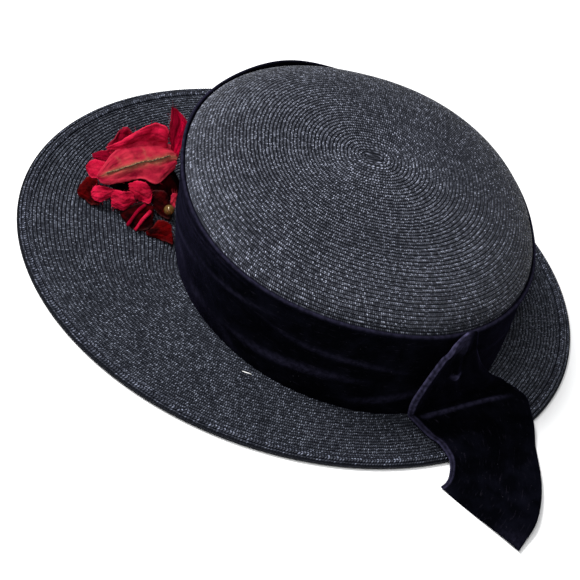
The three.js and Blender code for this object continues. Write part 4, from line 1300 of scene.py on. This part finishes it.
# %% Curled strips
STRIPS = {
    # the strip's cloth, and the path of its middle from its root to its tip
    "curled_strip_left": {
        "cloth": "dark",
        "path": [(-8, -117, 10.6), (-3.5, -120.5, 9.4), (2.5, -124, 5.4), (4, -125, 3.9)],
    },
    "curled_strip_right": {
        "cloth": "crimson",
        "path": [(-4.3, -113.7, 10), (1.2, -117.4, 7.7), (5.5, -119.8, 5), (6.5, -120.5, 4)],
    },
}
STRIP_ALONG, STRIP_ACROSS = 30, 12
UP = np.array([0, 0, 1.0])
share = np.linspace(0, 1, STRIP_ALONG)
curl = np.linspace(-0.2 * np.pi, 1.25 * np.pi, STRIP_ACROSS)[None, :, None]
faces = grid_faces(STRIP_ALONG, STRIP_ACROSS)
corners = grid_corners(share, np.linspace(-1, 1, STRIP_ACROSS))
for number, (node, strip) in enumerate(STRIPS.items()):
    line = smooth_curve(np.array(strip["path"], float), share)
    across = unit(np.cross(np.gradient(line, axis=0), UP))
    size = ((0.8 + 0.2 * ripple(6 * share, 70 + number, 3)) * (1 - 0.5 * share**4))[:, None, None]
    points = line[:, None] + size * np.cos(curl) * across[:, None] + size * np.sin(curl) * UP
    points[..., 2] = np.maximum(points[..., 2], PETAL_FLOOR)
    piece = mesh_piece("cloth_" + node, points.reshape(-1, 3), faces, corners)
    thicken(piece, PETAL_THICK)
    dress(piece, CLOTHS[strip["cloth"]]["material"], "crimson_cloth", node)

# %% Amber bead
BEAD_MIDDLE, BEAD_RADIUS = np.array([-10.5, -103, 8.3]), 3.0
BEAD_AROUND, BEAD_LEVELS = 28, 17
AMBER_FINISH, tree, shader = fresh_material("amber_glass")
swirl = spread(tree, cloudy(tree, 500), 0.35, 0.65)
amber = mixed(tree, swirl, (0.70, 0.28, 0.03), (0.95, 0.62, 0.20))
tree.links.new(amber, shader.inputs["Base Color"])
settle(shader, {"Roughness": 0.03, "IOR": 1.52, "Transmission Weight": 0.9})
bead_turn = (TURN * np.arange(BEAD_AROUND) / BEAD_AROUND)[:, None]
bead_tilt = np.linspace(-np.pi / 2, np.pi / 2, BEAD_LEVELS)[None, :]
facet = np.cos(bead_tilt) * (1 + 0.02 * np.cos(8 * bead_turn) * np.cos(bead_tilt))
bead_points = BEAD_MIDDLE + BEAD_RADIUS * np.stack([
    facet * np.cos(bead_turn), facet * np.sin(bead_turn), np.sin(bead_tilt) + 0 * bead_turn], -1)
faces = grid_faces(BEAD_AROUND, BEAD_LEVELS, close_rows=True)
bead = mesh_piece("glass_bead", bead_points.reshape(-1, 3), faces)
dress(bead, AMBER_FINISH, "amber_bead", "flower_bead")

# %% [markdown]
# ## Loose threads
#
# Old cut cloth sheds threads. Short bent ones stand out of the petals' edges, in the
# petals' own colours, and one bit of white thread lies on the brim beside the band. Hair
# could do this, but a few hundred tubes with three sides are light and export as they are.

# %% Frayed threads
EDGE_THREADS, CUT_THREADS = 26, 13
THREAD_RADII = [0.09, 0.08, 0.07, 0.06, 0.04]
draw = np.random.default_rng(11)
threads = {name: [] for name in CLOTHS}
share = np.linspace(0, 1, len(THREAD_RADII))[:, None]
for name, petal in PETALS.items():
    u = np.concatenate([draw.uniform(0.02, 0.98, EDGE_THREADS), np.full(CUT_THREADS, 0.99)])
    v = np.concatenate([draw.choice([-0.98, 0.98], EDGE_THREADS), draw.uniform(-0.9, 0.9, CUT_THREADS)])
    base = petal_surface(name, u, v)
    out = base - petal_surface(name, u * 0.97, v * 0.9)
    out /= np.linalg.norm(out, axis=1, keepdims=True) + 1e-6
    length = draw.uniform(0.6, 2.6, len(u))
    bend = draw.normal(0, 0.35, (len(u), 3)) + [0, 0, 0.15]
    for n in range(len(u)):
        path = base[n] - 0.3 * out[n] + share * out[n] * length[n] + share**2 * bend[n] * length[n]
        path[:, 2] = np.maximum(path[:, 2], PETAL_FLOOR - 0.4)
        threads[petal["cloth"]].append(tube(path, THREAD_RADII, 3))
for name, parts in threads.items():
    piece = mesh_piece("frayed_threads_" + name, *joined(parts))
    dress(piece, CLOTHS[name]["material"], CLOTHS[name]["slot"])

# %% White thread on the brim
LINT_START, LINT_REACH = np.array([94.3, -59.5, 0]), np.array([1.6, 5.2, 0])
LINT_FINISH, tree, shader = fresh_material("white_thread")
chalky = mixed(tree, cloudy(tree, 2000), (0.72, 0.71, 0.68), (0.95, 0.95, 0.93))
tree.links.new(chalky, shader.inputs["Base Color"])
settle(shader, {"Roughness": 0.8})
share = np.linspace(0, 1, 14)
lint_path = LINT_START + share[:, None] * LINT_REACH
lint_path[:, 0] += 0.5 * np.sin(4 * share)
lint_path[:, 2] = 4.6 + 0.7 * np.sin(np.pi * share)
lint_radius = 0.28 * np.sqrt(np.clip(np.sin(np.pi * share * 0.9 + 0.15), 0.1, 1))
lint = mesh_piece("white_thread_end", *tube(lint_path, lint_radius, 7))
dress(lint, LINT_FINISH, "straw_braid")

# %% [markdown]
# ## Floor, light and camera
#
# The hat lies on a plain white floor. A square light high on the picture's left gives the
# soft shadow, and a wider, weaker one on the camera's side lets the velvet's folds show
# inside it. One lamp alone would leave the dark ribbon black. The camera stands where the
# photograph was taken: about 90 cm off, 43 degrees up, tilted so that the hat leans
# across the frame. The view transform is the plain one, which keeps colours as mixed.

# %% Floor
FLOOR_REACH, FLOOR_DROP = 6.0, 0.0005
FLOOR_FINISH, tree, shader = fresh_material("plain_floor")
settle(shader, {"Base Color": (0.9, 0.9, 0.9, 1), "Roughness": 0.9})
floor_mesh = bpy.data.meshes.new("floor")
square = np.array([(-1, -1), (1, -1), (1, 1), (-1, 1)]) * FLOOR_REACH
floor_mesh.from_pydata([(x, y, -FLOOR_DROP) for x, y in square], [], [(0, 1, 2, 3)])
floor_mesh.materials.append(FLOOR_FINISH)
floor_piece = bpy.data.objects.new("floor", floor_mesh)
bpy.context.collection.objects.link(floor_piece)


# %% Camera
def stood(thing, sideways, upwards, backwards, place):
    """Stands a thing at a place by its matrix, whose columns are its axes and the place."""
    pose = np.eye(4)
    pose[:3] = np.stack([sideways, upwards, backwards, place], 1)
    thing.matrix_world = Matrix(pose.tolist())


PHOTO_PIXELS, FOCAL_PIXELS, SENSOR_WIDTH = 580, 1588, 36
EYE = placed([635.4, -223.8, 597.7])
RIGHT, UPWARD = np.array([0.0164, 0.9564, 0.2916]), np.array([-0.7164, -0.1922, 0.6707])
hat_scene = bpy.context.scene
camera_data = bpy.data.cameras.new("camera")
camera_data.sensor_width = SENSOR_WIDTH
camera_data.lens = SENSOR_WIDTH * FOCAL_PIXELS / PHOTO_PIXELS
camera_data.clip_start = 0.01
camera = bpy.data.objects.new("camera", camera_data)
bpy.context.collection.objects.link(camera)
stood(camera, RIGHT, UPWARD, np.cross(RIGHT, UPWARD), EYE)
hat_scene.camera = camera
print("camera at", EYE.round(3))


# %% Light
def softbox(name, place, aim, size, power):
    """A square area light at a place, turned to face a point."""
    light = bpy.data.lights.new(name, "AREA")
    light.size = size
    light.energy = power
    lamp = bpy.data.objects.new(name, light)
    bpy.context.collection.objects.link(lamp)
    back = unit(np.subtract(place, aim))
    side = unit(np.cross([0, 0, 1], back))
    stood(lamp, side, np.cross(back, side), back, place)


softbox("key_light", (-0.4, -1.2, 1.6), aim=(0, 0, 0.05), size=0.6, power=59)
softbox("top_light", (0.9, -0.7, 1.7), aim=(0, 0, 0), size=0.9, power=25)
world = bpy.data.worlds.new("studio")
hat_scene.world = world
world.use_nodes = True
settle(world.node_tree.nodes["Background"], {"Color": (0.95, 0.97, 1.0, 1), "Strength": 0.26})
hat_scene.view_settings.view_transform = "Standard"
